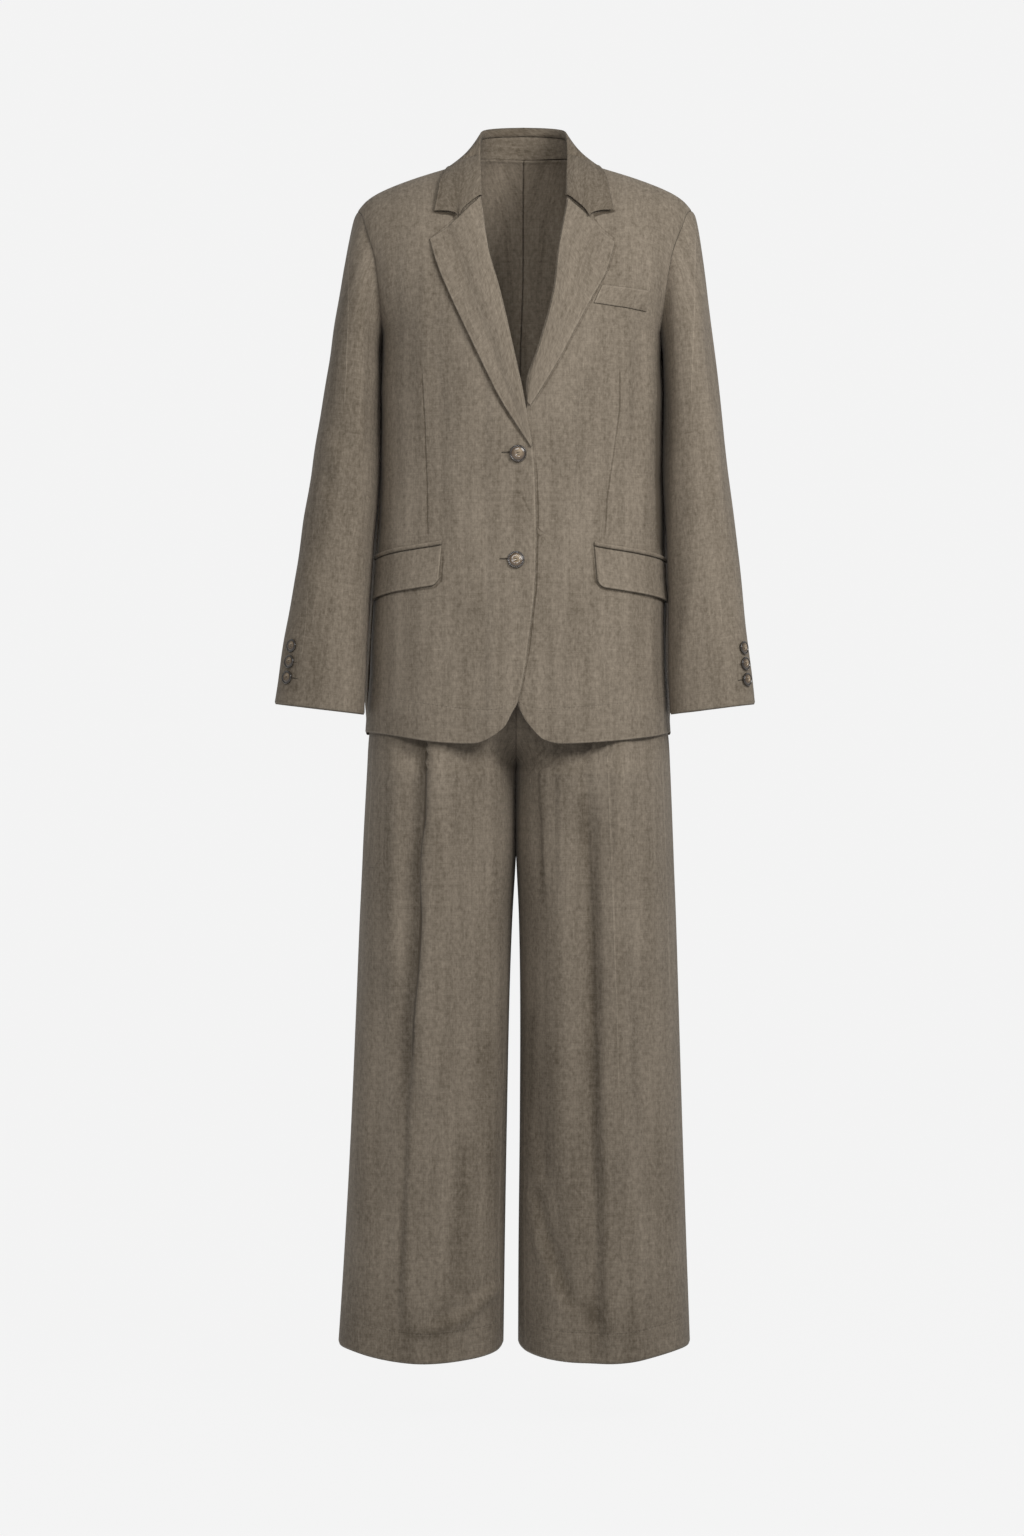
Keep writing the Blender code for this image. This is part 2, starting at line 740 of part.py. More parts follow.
def collar_row(station):
    """Fold point and free-edge point of the collar at a station; negative is the wearer's right."""
    side = math.copysign(1, station)
    at = abs(station)
    x = NECK_CENTRE + side * read(COLLAR, "out", at)
    return side, at, Vector((x, read(COLLAR, "y", at), read(COLLAR, "height", at)))


def on_body(face, x, rise, out):
    top_y, top_z = shoulder_top(face, x)
    z = mix(UNDERARM, top_z, rise)
    level = mix(UNDERARM, NECK_LEVEL, rise)
    place = raise_to_shoulder(face, x, ring_depth(face, level, x), level)
    if rise > 0.995:
        return place + Vector((0, 0, out))
    _, normal = surface_at(face, x, z)
    return place + normal * out


def leaf_surface(station, across):
    """The collar's leaf from its fold, 0, to its free edge, 1."""
    side, at, fold = collar_row(station)
    edge_x = NECK_CENTRE + side * read(COLLAR, "edge_out", at)
    rise = min(read(COLLAR, "edge_rise", at), 1)
    face = 1 if at <= SIDE_NECK else -1
    edge = on_body(face, edge_x, rise, COLLAR_CLEAR)
    hung = mix(fold, edge, across)
    outward = Vector((side * min(at / SIDE_NECK, 1), 1 - at / SIDE_NECK, 1)).normalized()
    hung = hung + outward * read(COLLAR, "bulge", at) * math.sin(math.pi * across)
    lay = smooth((at - SIDE_NECK) / LEAF_LAY_SPAN)
    if lay == 0:
        return hung
    gorge = smooth(at - GORGE_FROM) * (1 - abs(across - GORGE_CORNER_AT) / GORGE_CORNER_AT)
    x = mix(fold.x, edge.x, across)
    z = mix(fold.z, edge.z, across)
    x = mix(x, NECK_CENTRE + side * GORGE_CORNER_OUT, gorge)
    z = mix(z, GORGE_CORNER_HEIGHT, gorge)
    place, normal = surface_at(-1, x, z)
    lain = place + normal * (COLLAR_CLEAR + LEAF_PUFF * math.sin(math.pi * across))
    return mix(hung, lain, lay * smooth(across * 3 + 0.35))


def stand_surface(station, across):
    """The collar's stand from the neck seam, 0, up to its seam with the leaf, 1."""
    side, at, fold = collar_row(station)
    if at <= SIDE_NECK:
        angle = math.pi / 2 * at / SIDE_NECK
        foot_x = NECK_CENTRE + side * NECK_HALF * math.sin(angle) * STAND_INSIDE
        foot_y, foot_z = shoulder_top(1, foot_x)
        foot = Vector((foot_x, foot_y - STAND_BACK_SETBACK, foot_z + STAND_FOOT))
    else:
        level = mix(NECK_LEVEL, STAND_END_LEVEL, (at - SIDE_NECK) / (STAND_END - SIDE_NECK))
        edges = RIGHT_EDGE if side < 0 else LEFT_EDGE
        x = read(edges, "across", level)
        place = raise_to_shoulder(-1, x, ring_depth(-1, level, x), level)
        foot = place + Vector((0, 0, STAND_FRONT_FOOT))
    down = (foot - fold).normalized()
    top = fold + down * min(STAND_TOP_GAP, (foot - fold).length * STAND_TOP_SHARE)
    return mix(foot, top, across)


def collar(linen):
    stations = even(COLLAR_STATIONS, -COLLAR[-1].station, COLLAR[-1].station)
    panel("collar_fall", leaf_surface, stations, even(COLLAR_ACROSS), linen, -1, COLLAR_WALL)
    stations = even(STAND_STATIONS, -STAND_END, STAND_END)
    panel("collar_stand", stand_surface, stations, even(STAND_ACROSS), linen, 1, COLLAR_WALL)


# Lapels, pockets and the welt

def laid_on(name, place_of, across, along, finish, clear, wall):
    """A piece that lies on a front: place_of gives x, height and how far its outer face stands out."""
    outer = []
    inner = []
    for b in along:
        outer_row = []
        inner_row = []
        for a in across:
            x, z, lapped, extra = place_of(a, b)
            place, normal = surface_at(-1, x, z, lapped)
            outer_row.append(place + normal * (clear + wall + extra))
            inner_row.append(place + normal * (clear + extra))
        outer.append(outer_row)
        inner.append(inner_row)
    place_mesh(name, wall_mesh(name, outer, inner), finish)


def polyline(points, share):
    """A point at a share of the way along straight stretches of equal count."""
    count = len(points) - 1
    i = min(int(share * count), count - 1)
    t = share * count - i
    return tuple(mix(p, q, t) for p, q in zip(points[i], points[i + 1]))


def lapel(side, linen):
    rows = RIGHT_LAPEL if side < 0 else LEFT_LAPEL
    top = RIGHT_LAPEL_TOP if side < 0 else LEFT_LAPEL_TOP
    word = "right" if side < 0 else "left"

    def between(across, along):
        x = mix(read(rows, "roll", along), read(rows, "edge", along), across)
        return x, mix(read(rows, "roll_height", along), read(rows, "edge_height", along), across)

    def place_of(across, along):
        x, z = between(across, max(along, LAPEL_TOP_PART))
        if along < LAPEL_TOP_PART:
            top_x, top_z = polyline(top, across)
            x = mix(top_x, x, along / LAPEL_TOP_PART)
            z = mix(top_z, z, along / LAPEL_TOP_PART)
        roll = math.sin(math.pi * min(across * 1.6 + 0.06, 1)) * smooth((1 - along) * 5)
        return x, z, side < 0, LAPEL_ROLL * roll

    across = even(LAPEL_COLUMNS)
    laid_on(f"lapel_{word}", place_of, across, even(LAPEL_ROWS), linen, LAPEL_CLEAR, LAPEL_WALL)


def pocket(row, linen):
    side = -1 if row.side == "right" else 1
    front_turn = turn_at(row.front_x, row.front_z)

    def line(across):
        """x and height of the pocket's mouth, from its front end to its back end."""
        z = mix(row.front_z, row.back_z, across ** 0.8)
        turn = mix(front_turn, row.back_turn, across)
        return body_point(-1, turn, z).x, z

    def flap_place(across, along):
        x, z = line(across)
        front_x, _ = line(0)
        to_corner = max(0, FLAP_CORNER - abs(x - front_x))
        rounded = FLAP_CORNER - math.sqrt(FLAP_CORNER ** 2 - to_corner ** 2)
        x = x + side * FLAP_SET_BACK * along * (1 - across)
        return x, z - JET_WIDTH - along * (FLAP_DEPTH - rounded), False, 0

    def jet_place(across, along):
        x, z = line(across)
        return x, z - along * (JET_WIDTH - SEAM_GAP), False, 0

    columns = even(FLAP_COLUMNS)
    laid_on(f"flap_{row.side}", flap_place, [0, 0.015, 0.04] + columns[1:], even(FLAP_ROWS), linen,
            FLAP_CLEAR, FLAP_WALL)
    laid_on(f"jet_{row.side}", jet_place, columns, even(1), linen, JET_CLEAR, JET_WALL)


def breast_welt(linen):
    top_in, top_out, low_out, low_in = WELT

    def place(across, along):
        x = mix(mix(top_in[0], top_out[0], across), mix(low_in[0], low_out[0], across), along)
        z = mix(mix(top_in[1], top_out[1], across), mix(low_in[1], low_out[1], across), along)
        return x, z, False, 0

    laid_on("breast_welt", place, even(6), even(2), linen, SEAM_GAP, WELT_WALL)


# Buttons

def button(name, place, normal, width, thick, horn):
    """A turned disc with a raised rim, its foot at place."""
    shape = bmesh.new()
    ring = [shape.verts.new((r * width / 2 * MM, 0, h * thick * MM)) for r, h in BUTTON_PROFILE]
    edges = [shape.edges.new(pair) for pair in zip(ring, ring[1:])]
    bmesh.ops.spin(shape, geom=ring + edges, cent=(0, 0, 0), axis=(0, 0, 1), angle=2 * math.pi,
                   steps=BUTTON_SIDES, use_merge=True)
    bmesh.ops.remove_doubles(shape, verts=shape.verts[:], dist=1e-6)
    bmesh.ops.recalc_face_normals(shape, faces=shape.faces[:])
    mesh = bpy.data.meshes.new(name)
    shape.to_mesh(mesh)
    shape.free()
    thing = place_mesh(name, mesh, horn)
    thing.rotation_mode = "QUATERNION"
    thing.rotation_quaternion = normal.to_track_quat("Z", "Y")
    thing.location = place * MM


def buttons(horn):
    for number, (x, z) in enumerate(FRONT_BUTTONS, 1):
        place, normal = surface_at(-1, x, z, True)
        foot = place + normal * SEAM_GAP
        button(f"front_button_{number}", foot, normal, FRONT_BUTTON, FRONT_BUTTON_THICK, horn)
    for side, word, rows in ((-1, "right", RIGHT_SLEEVE), (1, "left", LEFT_SLEEVE)):
        surface = sleeve_surface(side, rows)
        for number, height in enumerate(CUFF_HEIGHTS[word], 1):
            along = (height - CUFF) / (SLEEVE_TOP - CUFF)
            normal = normal_at(surface, CUFF_TURNS[word], along, (0, 2)) * side
            foot = surface(CUFF_TURNS[word], along) + normal * SEAM_GAP
            name = f"cuff_button_{word}_{number}"
            button(name, foot, normal, CUFF_BUTTON, CUFF_BUTTON_THICK, horn)


def main():
    clear_scene()
    linen = material("linen", (0.235, 0.195, 0.155), 0.9)
    horn = material("horn", (0.16, 0.085, 0.04), 0.25)
    jacket_body(linen)
    sleeves(linen)
    collar(linen)
    for side in (-1, 1):
        lapel(side, linen)
    for row in POCKETS:
        pocket(row, linen)
    breast_welt(linen)
    trousers(linen)
    buttons(horn)


main()
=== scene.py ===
"""The linen suit dressed: cloth shells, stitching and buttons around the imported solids.

Sizes are in millimetres until a mesh is made. +X is the wearer's left, the front faces -Y, +Z is up.
Grids of points are arrays of rows by columns by three.
"""

import math
from collections import namedtuple

import bmesh
import bpy
import numpy as np
from mathutils import Matrix, Vector


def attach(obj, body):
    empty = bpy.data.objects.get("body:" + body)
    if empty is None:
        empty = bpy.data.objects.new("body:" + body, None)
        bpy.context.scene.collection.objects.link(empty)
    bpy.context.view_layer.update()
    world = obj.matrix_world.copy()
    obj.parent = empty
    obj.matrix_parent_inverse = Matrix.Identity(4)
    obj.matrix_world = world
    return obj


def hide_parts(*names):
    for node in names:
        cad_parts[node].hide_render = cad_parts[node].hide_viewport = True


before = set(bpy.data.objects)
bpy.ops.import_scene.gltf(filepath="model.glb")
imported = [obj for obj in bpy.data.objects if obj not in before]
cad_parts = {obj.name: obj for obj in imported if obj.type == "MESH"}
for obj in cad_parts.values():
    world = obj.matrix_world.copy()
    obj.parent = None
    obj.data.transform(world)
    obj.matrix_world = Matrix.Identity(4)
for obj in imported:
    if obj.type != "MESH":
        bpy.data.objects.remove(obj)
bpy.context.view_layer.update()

MM = 0.001


def table(fields, *rows):
    """Rows whose columns have names."""
    row_type = namedtuple("Row", fields)
    return [row_type(*row) for row in rows]


# Camera, which looks level along +Y
CAMERA_PLACE = (-0.0159, -4.5, -0.7296)
CAMERA_LENS = 86.45
SENSOR = 36
MM_PER_PIXEL = 1.22
PICTURE_MIDDLE = (512, 768)

# Driving sizes. The bodies of the jacket and sleeves are the solids'. The trousers' inner edges, the armhole
# gap, the collar, lapels, pockets and buttons differ from them by a few millimetres, and the back ends of
# the pockets by up to 16.
UNDERARM = -205
NECK_LEVEL = 15
BODY_POWER = 2.5
NECK_HALF = 57
NECK_CENTRE = -1.8
NECK_BACK_DEPTH = 66
NECK_BACK_RISE = 9
RIDGE_Y = 8
PROFILE_AT_NECK = 1.7
PROFILE_AT_SHOULDER = 2.4
SHOULDER_REACH = 145
LAP_LIFT = 2.6
LAP_START = -50
LAP_SLOPE = 14
LAP_TOP = -245
LAP_TOP_FADE = 32
LAP_NORMAL_TO = 40
BACK_HEM = -689
BACK_SEAM_X = -8.5
SLOPE_REACH = 0.5

JACKET = table(
    "level centre half front back armhole",
    (-715, -8.5, 188.5, 139, 141, 188.5),
    (-661, -8.4, 184.4, 137, 139, 184.4),
    (-586, -8.6, 180.2, 133, 135, 180.2),
    (-522, -7.5, 178.6, 128, 129, 178.6),
    (-467, -6.2, 175.8, 122, 120, 175.8),
    (-417, -5.0, 173.0, 119, 114, 173.0),
    (-377, -4.5, 170.5, 119, 113, 170.5),
    (-281, -4.0, 169.5, 124, 118, 169.5),
    (-205, -4.2, 168.0, 124, 122, 168.0),
    (-192, -4.0, 171.0, 124, 123, 169.0),
    (-179, -3.8, 174.8, 123, 124, 169.6),
    (-151, -3.4, 183.0, 122, 125, 172.0),
    (-89, -2.2, 198.7, 120, 125, 179.5),
    (-39, -1.2, 210.0, 118, 123, 191.0),
    (-7, -0.8, 215.0, 117, 121, 197.5),
    (15, -0.5, 219.0, 116, 120, 204.0),
)

SHOULDER = table(
    "out height",
    (0, 15), (55, 15), (95, 3), (140, -11.8), (175, -26.2), (193, -37.6), (205, -51.8), (216, -68),
)

RIGHT_EDGE = table(
    "height across",
    (-690, -35), (-680, -24), (-665, -16), (-652, -9), (-619, -1.7), (-587, 3), (-511, 11.4),
    (-423, 12.6), (-348, 9), (-311, 2.5), (-275, -4), (-221, -16), (-160, -30), (-111, -43.3),
    (-61, -50.4), (-42, -53), (-10, -55), (15, -56),
)
LEFT_EDGE = table(
    "height across",
    (-689, 13), (-671, -1.7), (-655, -9), (-620, -17), (-560, -25), (-450, -28), (-380, -27),
    (-345, -18), (-318, -5), (-300, 0.8), (-269, 0.8), (-227, 15), (-165, 31.7), (-108, 38.8),
    (-75, 44.8), (-45, 49.6), (-10, 52.0), (15, 53.0),
)

RIGHT_HEM = table(
    "across height",
    (-196, -686), (-166, -690), (-111, -698.5), (-67, -701), (-51.5, -698.7), (-35, -690),
)
LEFT_HEM = table(
    "across height",
    (13, -689), (22, -696.4), (41, -701), (106, -697.5), (156, -691.6), (180, -686),
)

RIGHT_SLEEVE = table(
    "height outer inner depth centre_y",
    (-659, -302.0, -193.2, 43, -56),
    (-573, -288.8, -189.5, 51, -47),
    (-474, -274.2, -184.5, 60, -32),
    (-377, -259.2, -177.5, 67, -17),
    (-281, -245.0, -176.0, 72, -5),
    (-225, -237.0, -175.0, 74, 0),
)
LEFT_SLEEVE = table(
    "height outer inner depth centre_y",
    (-659, 277.4, 174.6, 43, -56),
    (-573, 268.2, 171.5, 51, -47),
    (-474, 258.4, 171.2, 60, -32),
    (-377, 247.0, 168.5, 67, -17),
    (-281, 236.7, 168.0, 72, -5),
    (-225, 230.5, 166.6, 74, 0),
)
SLEEVES = {-1: RIGHT_SLEEVE, 1: LEFT_SLEEVE}
SLEEVE_POWER = 2.2
SLEEVE_TILT = 0.12
SLEEVE_TOP = -225
SLEEVE_RUN_IN = 20
CUFF = -659
FRONT_SEAM_TURN = -math.pi / 9
HIND_SEAM_TURN = math.pi * 10 / 9
CAP_OUT = 9
CAP_DROP = 5
CAP_LIFT = 92
CAP_LIFT_UNDER = 8
ARMHOLE_GAP = -0.8

TROUSERS = table(
    "height right_out right_in left_in left_out front back",
    (-1440, -228.5, -26.5, -8.5, 201.5, 92, 98),
    (-1415, -226.5, -26.0, -8.5, 200.5, 93, 98),
    (-1305, -219.5, -24.5, -8.0, 196.5, 96, 100),
    (-1159, -211.5, -22.0, -6.5, 191.5, 100, 103),
    (-1013, -205.5, -19.0, -6.0, 187.0, 105, 108),
    (-915, -201.5, -15.5, -7.5, 184.0, 110, 114),
    (-845, -198.0, -11.4, -10.6, 181.3, 115, 120.5),
    (-822, -197.0, -10.5, -11.5, 180.5, 116, 122),
    (-735, -192.5, -10.4, -11.6, 177.0, 122, 130),
    (-690, -190.0, -10.4, -11.6, 174.5, 124, 132),
    (-640, -182.5, -10.4, -11.6, 167.0, 122, 129),
    (-560, -168.0, -10.4, -11.6, 150.0, 112, 117),
    (-465, -146.0, -10.4, -11.6, 126.0, 97, 96),
    (-428, -141.0, -10.4, -11.6, 121.0, 94, 91),
)
LEG_HEM = table(
    "share front back",
    (0, -1428.7, -1428.7), (0.08, -1430.6, -1432), (0.22, -1436.3, -1439), (0.35, -1440.8, -1444),
    (0.5, -1442.8, -1446), (0.67, -1441.6, -1445), (0.84, -1438.8, -1441), (0.97, -1434, -1434),
    (1, -1430.5, -1430.5),
)
LEG_POWER = 2.4
LEG_MIDDLE = {"right": -110, "left": 95}
CROTCH = -735
RISE_TOP = -560
RISE_CURVE = 4
WAIST_SEAM = -465
WAIST_TOP = -430

TROUSER_FOLDS = table(
    "leg top bottom across_top across_bottom width depth",
    ("right", -640, -1060, -128, -146, 16, 7),
    ("right", -640, -1100, -98, -116, 20, -7),
    ("right", -860, -1425, -58, -66, 22, 6),
    ("right", -1010, -1430, -172, -160, 24, 6),
    ("left", -640, -1000, 86, 84, 16, 7),
    ("left", -640, -1180, 112, 108, 20, -7),
    ("left", -820, -1430, 72, 80, 18, 7),
    ("left", -1130, -1330, 12, 42, 18, 6),
    ("left", -1000, -1430, 150, 158, 22, 5),
)
FOLD_FADE = 60

COLLAR = table(
    "station out y height edge_out edge_rise bulge",
    (0, 0, 75, 63.5, 0, 0.885, 1.5),
    (1, 28, 68, 61.5, 40, 0.895, 1.5),
    (2, 46, 47, 56, 76, 0.93, 0.5),
    (3, 52.5, 15, 46, 88, 0.999, -2.6),
    (4, 53.5, -13, 20, 99, 0.905, 0.0),
    (5, 52.5, -40, -9, 103, 0.785, 1.5),
    (6, 51.2, -66, -42.5, 107, 0.688, 1.5),
)
SIDE_NECK = 3
LEAF_LAY_SPAN = 2.2
LEAF_PUFF = 1.0
LEAF_EASING = 40
LEAF_TURN_SPAN = 0.6
LEAF_HUG = 2.2
LEAF_LAY_HASTE = (3, 14)
LEAF_LAY_START = 0.35
LEAF_BEND_SPAN = 0.5
NEARLY_TOP = 0.995
NECK_POINT_AT = 1.5
GORGE_FROM = 5
GORGE_CORNER_OUT = 77
GORGE_CORNER_HEIGHT = -73.5
GORGE_CORNER_AT = 0.5
GORGE_STEP = 30
GORGE_REACH = 14
GORGE_SINK = 1.6
NOTCH_LIFT = 1.2
COLLAR_CLEAR = 3.4
STAND_END = 4.15
STAND_END_LEVEL = 7
STAND_TOP_GAP = 10
STAND_TOP_SHARE = 0.45
STAND_INSIDE = 0.985
STAND_BACK_SETBACK = 0.5
STAND_FOOT = -0.5
STAND_FRONT_FOOT = 1.5

RIGHT_LAPEL = table(
    "share roll roll_height edge edge_height",
    (0.0, -54, -44.5, -121, -74), (0.25, -44, -108, -106, -126), (0.45, -31.5, -159, -89, -168),
    (0.68, -17, -221, -57, -236), (0.86, -5.5, -275, -29.5, -292), (1.0, 8.2, -345, 6.6, -349),
)
LEFT_LAPEL = table(
    "share roll roll_height edge edge_height",
    (0.0, 51, -46.5, 112, -91), (0.25, 40, -106, 97.2, -137), (0.45, 33, -165, 77, -174),
    (0.68, 16.5, -227, 40, -244), (0.86, 3.5, -266, 16, -284), (1.0, 2.0, -296, 5.5, -300),
)
RIGHT_LAPEL_TOP = [(-54, -44.5), (-80.5, -73), (-97, -85.5), (-114.5, -97.5)]
LEFT_LAPEL_TOP = [(51, -46.5), (78, -73.5), (92, -87), (107.5, -101)]
LAPEL_STANDS_OUT = 2.6
LAPEL_ROLL = 3.0
LAPEL_LIFT = {"right": 2.6, "left": 0.6}
LAPEL_TOP_PART = 0.25

FLAP_DEPTH = 47.5
FLAP_STANDS_OUT = 2.4
FLAP_CORNER = 8
FLAP_SET_BACK = 4
POCKET_BEND = 0.8
JET_WIDTH = 6.5
JET_STANDS_OUT = 2.2
JET_SWELL = 1.6
JET_SHELL = 0.8
FLAP_LIFT = 2.2
SEAM_GAP = 0.3
POCKETS = table(
    "side front_x front_z back_turn back_z",
    ("right", -99.5, -457.7, 0.12, -472), ("left", 81.5, -459.7, math.pi - 0.12, -475.5),
)
WELT = [(91.5, -153.5), (149, -158), (143.5, -183), (81, -176.5)]
WELT_STANDS_OUT = 1.7

FRONT_BUTTONS = [(-8.8, -356), (-11.2, -482.8)]
FRONT_BUTTON = 20.5
FRONT_BUTTON_THICK = 3.6
CUFF_BUTTON = 16
CUFF_BUTTON_THICK = 3.4
CUFF_HEIGHTS = {"right": [-588, -607, -626], "left": [-590.5, -609.5, -628.5]}
CUFF_TURNS = {"right": math.radians(136.5), "left": math.radians(141.5)}

BUTTON_PROFILE = [
    (0, 0), (0.78, 0), (0.94, 0.18), (1, 0.5), (0.985, 0.78), (0.93, 0.9), (0.87, 0.86), (0.83, 0.70),
    (0.79, 0.68), (0.74, 0.78), (0.62, 0.93), (0.46, 1.0), (0.36, 0.98), (0.30, 0.86), (0.25, 0.74),
    (0, 0.72),
]
BUTTON_STEPS = 40
PIT_AT = 0.105
WELL_HEIGHT = 0.74
BUTTON_RISE = 0.8
THREAD_OVERHANG = 0.5
THREAD_HALF = 0.42
SLIT_REACH = 19.5
SLIT_HALF = 1.7
SLIT_RISE = 0.35
SLIT_BANK = 0.35
SLIT_BANK_AT = 0.55
SLIT_BANK_WIDTH = 0.3
SLIT_BANK_END = 0.98
SLIT_SQUARENESS = 6
SLIT_TAPER = 0.55
SLIT_SHORT = 2
SLIT_LIFT = 1.2
SLIT_SHELL = 0.4
SLIT_LINE = 2.2
# The painted shadow in a slit's cut
SLIT_CUT_SHADOW = -2.4
CUFF_SLIT_HALF = 1.1
CUFF_SLIT_TURN = 17

SIDES = ((-1, "right"), (1, "left"))

# Studio
WORLD_STRENGTH = 0.38
PAPER_GLOW = 0.89
FLOOR = -1.52
WALL_Y = 6.5
SWEEP = 1.4
SWEEP_STEPS = 24
PAPER_HALF = 8
PAPER_NEAR = -9
PAPER_TOP = 4.5
LIGHTS = [
    ("key", 26, 0.8, (1.15, -1.65, 0.5), (0, 0, -0.25)),
    ("fill", 20, 0.7, (-0.2, -2.9, 0.5), (0, 0, -0.2)),
]

# Cloth shells
SHELL = 1.1
EDGE_ROLL = 1.8
EDGE_DROP = 1.3
BEHIND_SLEEVE_OUT = 5.6
BEHIND_SLEEVE_AT = 20
BEHIND_SLEEVE_WIDTH = 13
SEAM_DIP = 0.5
SEAM_WIDTH = 1.2
FAR = 1000.0
JACKET_HEM = 44
TROUSER_HEM = 36
# Painted shade that darkens the collar's leaf and stand
LEAF_PAINTED_SHADE = -0.24
STAND_PAINTED_SHADE = -0.22
SEWN = {"start": "seam", "end": "seam", "bottom": "fold", "top": "seam"}
FOLDED = {"start": "fold", "end": "fold", "top": "fold", "bottom": "fold"}

# Grid counts, and how fast a panel's folds fade towards its seams
FRONT_COLUMNS, BACK_COLUMNS = 84, 56
LOWER_ROWS, UPPER_ROWS = 116, 56
SLEEVE_ROWS, CAP_ROWS = 100, 44
LEG_FRONT_COLUMNS, LEG_BACK_COLUMNS = 124, 60
LEG_ROWS, RISE_ROWS = 130, 30
WAIST_COLUMNS, WAIST_ROWS = 120, 8
LEAF_COLUMNS, LEAF_STATIONS = 24, 200
TURNED_COLUMNS = 3
STAND_COLUMNS, STAND_STATIONS = 14, 120
LAPEL_COLUMNS, LAPEL_ROWS = 40, 110
FLAP_COLUMNS, FLAP_ROWS, JET_ROWS = 56, 24, 10
WELT_COLUMNS, WELT_ROWS = 36, 16
SLIT_STEPS, SLIT_ROWS = 30, 16
CUFF_SLIT_STEPS, CUFF_SLIT_ROWS = 16, 8
SLEEVE_PARTS = [
    ("top", FRONT_SEAM_TURN, HIND_SEAM_TURN, 72),
    ("under", HIND_SEAM_TURN, 2 * math.pi + FRONT_SEAM_TURN, 44),
]
FRONT_ROW_POWER = 1.15
FRONT_EDGE_HASTE = 12
CAP_HASTE = 6
LEG_SEAM_HASTE = 8
WAIST_HASTE = 3
GORGE_HASTE = 6
LEAF_FOLDS_FROM = 4
LEAF_FOLDS_FADE = 1.5
LEAF_FOLDS_HASTE = 4
ROLL_HASTE = 1.6
ROLL_START = 0.06
LAPEL_END_HASTE = 5
LAPEL_FOOT_HASTE = 6
LAPEL_FREE_HASTE = 9
LAPEL_FREE_FROM = 4.2

# Where the threads run upright on each front and back
FRONT_PLUMB = 90
BACK_PLUMB = 80

# Linen and horn
THREAD = 0.00062
STITCH = 0.0055
NOISE_REACH = 2.6
MIDDLE_TONE = 0.47
TONES = [
    (0.34, (190, 150, 1), 3.0, 0.6),
    (0.24, (75, 6, 1), 2.0, 0.5),
    (0.15, (14, 9, 1), 2.0, 0.5),
    (0.28, (330, 120, 1), 3.0, 0.65),
    (0.16, (420, 380, 1), 2.0, 0.6),
]
RIM_EASING = 0.14
# Where a button's painted highlight is centred on its face, and how far it reaches
BUTTON_HIGHLIGHT_AT = (0.14, 0.16)
BUTTON_HIGHLIGHT_REACH = 0.62

# Soft unevenness of the cloth: size, width, height and, where it is the same on both sides, its draw
FRONT_RIPPLES = [(2.1, 75, 320, 3), (0.6, 30, 60, 4)]
BACK_RIPPLE = (1.2, 90, 200, 5)
SLEEVE_RIPPLE = (1.2, 60, 200)
SLEEVE_FINE_RIPPLE = (0.5, 30, 60)
LEG_RIPPLE = (1.2, 90, 300)
RIPPLE_WAVES = 7
RIPPLE_SHARE = 4
FOLDS_BELOW = -30
FOLDS_FADE = 60
BEHIND_SLEEVE_TOP_FADE = 16
BEHIND_SLEEVE_TOP = 0.7
SLEEVE_CREASES_OFF = 20
SLEEVE_CREASES_FADE = 40

# Creases, pleats, and lines and bands of painted shade and highlight, by the photograph's pixels
CREASE_TAPER = 3
CREASE_BACK = 0.6
CREASE_BACK_AT = 1.7
LINE_FADE = 0.12
LINE_START = 0.15
PLEAT_FADE = 40
PLEAT_STEP = 1.6
CREASE = "px1 py1 px2 py2 width depth"
LINE = "tone width points"
TROUSER_PLEATS = table(
    "points over height reach_over reach_under",
    ([(428, 640), (427, 760), (425.6, 818), (423, 865), (421, 924), (418, 990),
        (414, 1080)], 1, 11.5, 30, 11),
    ([(411, 990), (408, 1100), (406, 1200), (402, 1320)], 1, 5.2, 30, 16),
    ([(609, 640), (608.5, 790), (610, 865), (612, 930)], -1, 3.4, 14, 22),
    ([(586, 640), (590, 790), (594, 880), (598, 1000), (601, 1120), (603, 1220),
        (603, 1335)], 1, 10, 16, 14),
    ([(536, 720), (540, 800), (543, 880)], 1, 3.4, 12, 12),
    ([(556, 720), (558, 800), (560, 880)], 1, 2.2, 12, 14),
    ([(468, 1060), (470, 1150), (467, 1240), (455, 1325)], 1, 4.2, 26, 13),
)
# Lines of painted shadow under the collar's notches, beside the lapels' edges and the closing edge, under the
# pocket flaps and in small creases, and the darts' dark seam lines
JACKET_LINES = {
    "right": table(
        LINE,
        (-3.6, 2.0, [(433, 211.8), (450, 213.4), (458, 216)]),
        (-1.0, 0.9, [(457, 215.5), (443, 227), (429.5, 238.5)]),
        (-1.9, 2.4, [(431, 246), (440, 275), (456.5, 312), (470.5, 341), (499, 400), (515, 426),
            (525, 441), (531, 450)]),
        (-1.7, 1.1, [(421, 366), (424, 423), (426, 480), (427.7, 541)]),
        (-1.4, 1.6, [(372, 601), (381, 595), (397, 592), (434, 588), (441, 581), (443, 548)]),
        (-0.9, 1.6, [(519, 490), (525, 502), (531, 515)]),
        (-0.7, 1.0, [(511, 493), (519, 492.5), (527, 494)]),
    ),
    "left": table(
        LINE,
        (-3.6, 2.0, [(616, 210.4), (603, 212), (590.5, 215.6)]),
        (-1.0, 0.9, [(592, 215.5), (602.5, 227), (616.5, 239.5)]),
        (-1.0, 1.1, [(617.5, 241), (608.5, 270), (591.5, 301), (560.5, 360), (537.5, 398),
            (529.5, 413)]),
        (-1.7, 1.3, [(534.5, 448), (537, 476), (538.2, 510), (537.6, 542), (536.5, 584), (529.5, 648),
            (520, 702)]),
        (-1.7, 1.1, [(619, 362), (619, 407), (613, 455), (607, 500), (605, 540)]),
        (-1.4, 1.6, [(665, 602), (634, 594), (602, 589), (595, 582), (592.5, 548)]),
        (-0.7, 1.0, [(538, 530), (548, 535)]),
    ),
}
